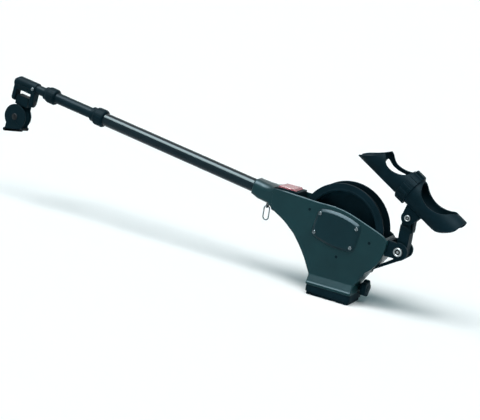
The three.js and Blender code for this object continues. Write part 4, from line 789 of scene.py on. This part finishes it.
def lock_collar(end, grip, body, nose, big, small):
    """A lock collar round the big tube's end, the bush in front of it and the small tube. Grip is the
    length and body the radius of its chamfered grip ring, and nose is the narrower part's radius and
    length. Ribs run along it, and a lug is on top."""
    bush, front = small + 2 * FIT + BUSH_WALL, end + 2 * FIT + BUSH_LENGTH
    line = [(big + FIT, end - grip), (body - 3, end - grip), (body, end - grip + 3), (body, end + 7.1),
            (nose[0], end + 11.6), (nose[0], front + nose[1]), (small + FIT, front + nose[1]),
            (small + FIT, front), (bush, front), (bush, end), (big + FIT, end)]
    sizes = [0.4, 1.5, 2, 2, 2, 1.2, 0.4, 0.3, 0.3, 0.3, 0.3]
    lug = eased([(-end - 5, body - 2), (-end - 5, body + 3), (-end + grip - 3, body + 3),
                 (-end + grip - 3, body - 2)], [0, 2, 2, 0])
    rib = plate([(2.2, end - grip + 4), (2.2, end + 5.5), (-2.2, end + 5.5), (-2.2, end - grip + 4)],
                body - 0.8, body + 0.45, 0.5, (), PLATE_X)
    ribs = repeated(rib, black_abs, count=GRIP_RIBS)
    ribs.transform(Matrix.Rotation(-math.pi / 2, 4, "Y"))
    return together(on_boom(eased(line, sizes), 0), plate(lug, -4, 4, 1), ribs)


collar = lock_collar(OUTER_END, grip=18, body=21.5, nose=(17.8, 12), big=OUTER_RADIUS, small=MID_RADIUS)
show("rear_lock_collar_skin", collar, black_abs, "rear_collar", ("rear_lock_collar",), BOOM)
collar = lock_collar(MID_END, grip=17, body=19.5, nose=(16.5, 9), big=MID_RADIUS, small=INNER_RADIUS)
show("front_lock_collar_skin", collar, black_abs, "front_collar", ("front_lock_collar",),
     BOOM)

# Swivel head and pulley block: what is turned is drawn in the boom's frame
rounded("swivel_yoke", "inner_boom", black_abs, 1.8)
YOKE_SCREW_X = -650
SWIVEL_PIN_Z = -38.5
PULLEY = (-683.25, -86)
GUARD_PINS = [(-656.25, -112), (-705.25, -127)]
yoke_screw = together(moved(drive_head(radius=4, height=2.5, start=14.9), PLATE_Y),
                      turned(rod(2.5, -15, -12.1), 0.2, 32))
show("yoke_screw_skin", moved(yoke_screw, YOKE_SCREW_X, 0, 0), dark_zinc, "inner_boom", ("yoke_screw",),
     BOOM)
pin_line = [(0, 710.3), (4, 710.3), (4, 643.7), (6.5, 643.7), (6.5, 641.8), (4.5, 641.2), (0, 641.2)]
show("swivel_pin_skin", moved(on_boom(pin_line), 0, 0, SWIVEL_PIN_Z), black_oxide_and_socket_shade, "inner_boom",
     ("swivel_pin",), BOOM)
for side in ("near", "far"):
    rounded(f"pulley_cheek_{side}", "pulley_block", black_abs, 1.1)
pulley_line = [(5.3, -8), (12, -8), (12, -3), (19.5, -3), (26.5, -8), (29.5, -8), (22.5, 0), (29.5, 8),
               (26.5, 8), (19.5, 3), (12, 3), (12, 8), (5.3, 8)]
show("pulley_skin", moved(turned(pulley_line, 1.0, 128), PULLEY[0], 0, PULLEY[1]), black_abs,
     "pulley_wheel", ("pulley",), BOOM)
axle_line = [(0, -15.9), (6, -15.9), (8, -15.0), (8, -14.3), (5, -14.3), (5, 14), (0, 14)]
show("pulley_axle_skin", moved(turned(axle_line, 0.4), PULLEY[0], 0, PULLEY[1]), black_oxide_and_socket_shade,
     "pulley_block", ("pulley_axle",), BOOM)
guard_pin = turned(rod(2.8, -15.5, 15.5), 0.7, 40)
show("line_guard_pins", repeated(guard_pin, black_oxide_and_socket_shade, [(x, 0, z) for x, z in GUARD_PINS]), black_oxide_and_socket_shade,
     "pulley_block", ("line_guard_pin_1", "line_guard_pin_2"), BOOM)

# Eye screwed up into the socket, and the oval wire ring that hangs in it
EYE_RADIUS = 5
EYE_WIRE = 1.9
RING_RADIUS = 7
RING_WIRE = 1.5
RING_STRAIGHT = 9.5
RING_X, RING_Z = middle_of("hanging_ring")
eye_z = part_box("eye_bolt")[0][2] / MM + EYE_RADIUS + EYE_WIRE
hoop = swept([(RING_X, y, eye_z + z) for y, z in circle(EYE_RADIUS, 48)], EYE_WIRE)
stud = moved(turned(rod(3, 171.4, 196), 0.3, 40, Matrix()), RING_X, 0, 0)
show("eye_bolt_skin", together(hoop, stud), dark_zinc, "frame", ("eye_bolt",))
oval = [(RING_X + x, 0, RING_Z + z + math.copysign(RING_STRAIGHT, z)) for x, z in circle(RING_RADIUS, 56)]
show("hanging_ring_skin", swept(oval, RING_WIRE), dark_zinc, "ring", ("hanging_ring",))


# Rear bracket, arm and their bolts: socket heads with a bright rim, and a black disc deep in each socket as
# painted shade
def cross_bolt(name, node, body, centre, radius, half, head, height):
    """A bolt across the holder's joint, its head on the near side."""
    face = half + FIT
    shank = turned(rod(radius, -face - FIT, half), 0.5, 64)
    rim = plate(circle(head, 72), face, face + height, height * 0.22, [circle(head * 0.6, 48)], PLATE_Y)
    show(name, moved(together(shank, rim), centre[0], 0, centre[1]), ground_stainless, body, (node,))
    # A black disc deep in the socket, standing in for the socket's shade: painted shade
    socket_shade = turned(rod(head * 0.58, -face - height * 0.5, -face), 0.2, 48)
    key = turned([(0, -face - height * 0.85), (head * 0.3, -face - height * 0.8),
                  (head * 0.3, -face - height * 0.4), (0, -face - height * 0.4)], 0.3, 6)
    show(name + "_drive", moved(socket_shade, centre[0], 0, centre[1]), black_oxide_and_socket_shade, body, ())
    show(name + "_key", moved(key, centre[0], 0, centre[1]), ground_stainless, body, ())


# Where the arm's end meets the root of the bracket's fork, and how far the arm's heel may stand from the
# bracket's bolt
FORK_ROOT = (156, 136)
HEEL_REACH = 16.2
ROUND_BOLT = 0.2
BY_BOLT = 9


def apart(point, place):
    """How far a point is from a place in X and Z."""
    return math.hypot(point.x - place[0], point.z - place[1])


def bracket_width(middle, *_):
    """How wide an edge of the bracket is rounded: little by the bolt and in the fork's root."""
    return ROUND_BOLT if apart(middle, BRACKET_BOLT) < BY_BOLT or apart(middle, FORK_ROOT) < 8 else 1.3


def arm_width(middle, *_):
    """How wide an edge of the arm is rounded: little round its two bolts and at the fork's root."""
    if min(apart(middle, BRACKET_BOLT), apart(middle, UPPER_BOLT)) < BY_BOLT:
        return ROUND_BOLT
    return 1.0 if apart(middle, FORK_ROOT) < 9 else 2.0


def heel_in(mesh):
    """The arm with its heel kept inside the round room that the bracket gives it to turn in."""
    for v in mesh.vertices:
        reach = apart(v.co, BRACKET_BOLT)
        if reach > HEEL_REACH and apart(v.co, FORK_ROOT) < 4:
            v.co.x = BRACKET_BOLT[0] + (v.co.x - BRACKET_BOLT[0]) * HEEL_REACH / reach
            v.co.z = BRACKET_BOLT[1] + (v.co.z - BRACKET_BOLT[1]) * HEEL_REACH / reach
    return mesh


rounded("holder_bracket", "frame", black_abs, bracket_width)
cross_bolt("bracket_bolt_skin", "bracket_bolt", "frame", BRACKET_BOLT, radius=6, half=21.6, head=10, height=6)
show("holder_arm_skin", heel_in(softened("holder_arm", arm_width)), black_abs, "arm", ("holder_arm",))
cross_bolt("upper_bolt_skin", "upper_bolt", "arm", UPPER_BOLT, radius=4, half=16.3, head=7, height=4)

# Rod holder: each cradle is drawn flat with soft edges and bent round into a tube, front at -X
SEAM = math.pi * HOLDER_RADIUS + 1.2
FRONT_TOP = [(0.5, 1), (0.6, 0.72), (1, 0.41), (1.56, 0.22), (2.06, 0.25), (2.52, 0.6)]
FRONT_END = [(2.72, 0.68), (3.02, 0.26), (3.42, -0.2), (3.9, -0.68), (4.09, -0.95), (3.92, -1)]
WINDOW = [(2.66, 0.08), (2.06, -0.14), (1.45, -0.08), (0.86, 0.14), (0.9, -0.26), (1.4, -0.52),
          (2, -0.6), (2.62, -0.42)]
REAR_TOP = [(-0.53, 1), (-0.76, 0.74), (-1.16, 0.4), (-1.87, 0.2), (-2.53, 0.3), (-3.03, 0.57),
            (-3.35, 0.86), (-3.6, 1)]
REAR_END = [(-4.41, 1), (-4.35, 0.3), (-3.78, -0.47), (-3.28, -0.85), (-2.72, -1)]


def unrolled(points):
    """Side-view places, in shares of the tube's radius, as places on the tube rolled out flat."""
    out = []
    for u, v in points:
        around = math.acos(max(-1, min(1, -v))) * HOLDER_RADIUS
        out.append((-u * HOLDER_RADIUS, SEAM if v >= 0.9999 else around))
    return out


def mirrored(points):
    """The same line on the tube's other side, in the opposite order."""
    return [(u, -v) for u, v in reversed(points)]


def cradle(half_line, openings=()):
    """A cradle from one side's outline, mirrored to the other side, with openings in either side."""
    outline = [*half_line, *(p for p in mirrored(half_line) if abs(p[1]) > 0.01)]
    flat = plate(outline, -HOLDER_WALL, 0, 1.1, openings)
    return moved(wrapped(flat, HOLDER_RADIUS), Matrix.Rotation(math.pi, 4, "X"))


front_line = [(-0.15, SEAM), *unrolled(flowing(FRONT_TOP)), *unrolled(flowing(FRONT_END))]
window_line = mirrored(unrolled(eased(WINDOW, 0.22, 5)))
show("holder_front_skin", cradle(front_line, [window_line]), black_abs, "holder", ("holder_front_cradle",),
     HOLDER)
rear_line = [(0.15, SEAM), *unrolled(flowing(REAR_TOP)), *unrolled(flowing(REAR_END))]
SADDLE_BOLT = (44.6, -49)
SADDLE_WALL = 5.5
saddle_line = [(22.6, -27), *circle(16, 25, SADDLE_BOLT, 180, 180), (64.6, -27)]
saddle = [plate_y(saddle_line, y, y + SADDLE_WALL, 1.2, [circle(4.3, 32, SADDLE_BOLT)])
          for y in (-16.3, 10.8)]
show("holder_rear_skin", together(cradle(rear_line), *saddle), black_abs, "holder",
     ("holder_rear_cradle",), HOLDER)

# Clamp ring: a band with raised grip ribs all round, and a wider lug above and below
rib = plate([(2.5, -11.6), (2.5, 11.6), (-2.5, 11.6), (-2.5, -11.6)], 34.6, 36.8, 0.8, (), PLATE_X)
lug = plate(eased([(6, -12), (6, 12), (-6, 12), (-6, -12)], 1.5), 34.4, 38.8, 1.2, (), PLATE_X)
band = turned(pipe(HOLDER_RADIUS + FIT + 3, HOLDER_RADIUS + FIT, -12, 12), 0.8, 128, Matrix())
ring_mesh = together(band, repeated(rib, black_abs, count=GRIP_RIBS), repeated(lug, black_abs, count=2))
show("holder_ring_skin", moved(ring_mesh, TURN_X), black_abs, "clamp_ring", ("holder_ring",),
     HOLDER)


# Base and its lock knob
BASE_TOP = 23


def base_width(middle, *_):
    """How wide an edge of the base is rounded: little in the corners at the rail's root."""
    return 0.2 if abs(middle.z - BASE_TOP) < 0.5 and abs(middle.y) < 21 else 1.0


rounded("mounting_base", "base", black_abs, base_width)
knob = together(plate(lobed(20, 3.5, 5), 62.3, 75.3, 2.6, (), PLATE_X),
                turned([(0, 55.3), (7.5, 55.3), (10.5, 63), (0, 63)], 0.6, 64, TURN_X),
                turned([(0, 75), (9, 75), (8, 76.2), (0, 76.6)], 0.4, 64, TURN_X),
                turned(rod(3, 36.7, 56), 0.3, 40, TURN_X))
show("base_lock_knob_skin", moved(knob, 0, 16, 36), black_abs, "lock_knob", ("base_lock_knob",))


# Floor, lamps, world and camera
floor_mesh = shaped([(-90, -90, 0), (90, -90, 0), (90, 90, 0), (-90, 90, 0)], [(0, 1, 2, 3)])
floor = placed("floor", floor_mesh)
paper, _, paper_shader = surface("white_paper_floor", Roughness=0.95, Specular_IOR_Level=0)
paper_shader.inputs["Base Color"].default_value = linear("#FEFEFE")
floor_mesh.materials.append(paper)

# The world shows as white to the camera and in metal and glass, and lights the shadows a cool grey
world = bpy.data.worlds.new("studio")
bpy.context.scene.world = world
world.use_nodes = True
sky = world.node_tree
rays = put(sky, "ShaderNodeLightPath")
seen = put(sky, "ShaderNodeMath", {0: rays.outputs["Is Camera Ray"], 1: rays.outputs["Is Transmission Ray"]},
           operation="ADD")
seen = put(sky, "ShaderNodeMath", {0: seen.outputs[0], 1: rays.outputs["Is Glossy Ray"]}, operation="ADD",
           use_clamp=True)
white = put(sky, "ShaderNodeMix", {0: seen.outputs[0], 6: linear("#6A8489"), 7: linear("#FFFFFF")},
            data_type="RGBA")
sky.links.new(white.outputs[2], sky.nodes["Background"].inputs["Color"])


def distant(name, aim, power, width):
    """A distant lamp that lights the whole floor evenly, as soft as its width in degrees."""
    data = bpy.data.lights.new(name, "SUN")
    data.energy = power
    data.angle = math.radians(width)
    light = placed(name, data)
    light.rotation_euler = Vector(aim).to_track_quat("-Z", "Y").to_euler()
    return light


# Two soft lights from high in front, and a wide card that only glosses see
distant("key_left", (0.3, 0.36, -0.88), power=1.7, width=32)
distant("key_right", (-0.3, 0.36, -0.88), power=1.35, width=32)
distant("card", (0.05, 0.36, -0.93), power=14, width=52).visible_diffuse = False

# The camera looks at a place in the part's middle plane from a distance, both in metres. It stands round
# towards the holder from the side view, above it, and is held a little rolled
AIM = (-0.262732, 0, 0.139113)
DISTANCE = 3.003743
AZIMUTH = math.radians(25.54145)
ELEVATION = math.radians(13.54183)
ROLL = math.radians(8.92562)
camera_data = bpy.data.cameras.new("camera")
camera_data.lens = 96.63
camera_data.sensor_width = 36
camera = placed("camera", camera_data)
bpy.context.scene.camera = camera
camera.matrix_world = (Matrix.Translation(AIM) @ Matrix.Rotation(AZIMUTH, 4, "Z")
                       @ Matrix.Rotation(math.pi / 2 - ELEVATION, 4, "X") @ Matrix.Rotation(ROLL, 4, "Z")
                       @ Matrix.Translation((0, 0, DISTANCE)))
bpy.context.scene.view_settings.view_transform = "Standard"
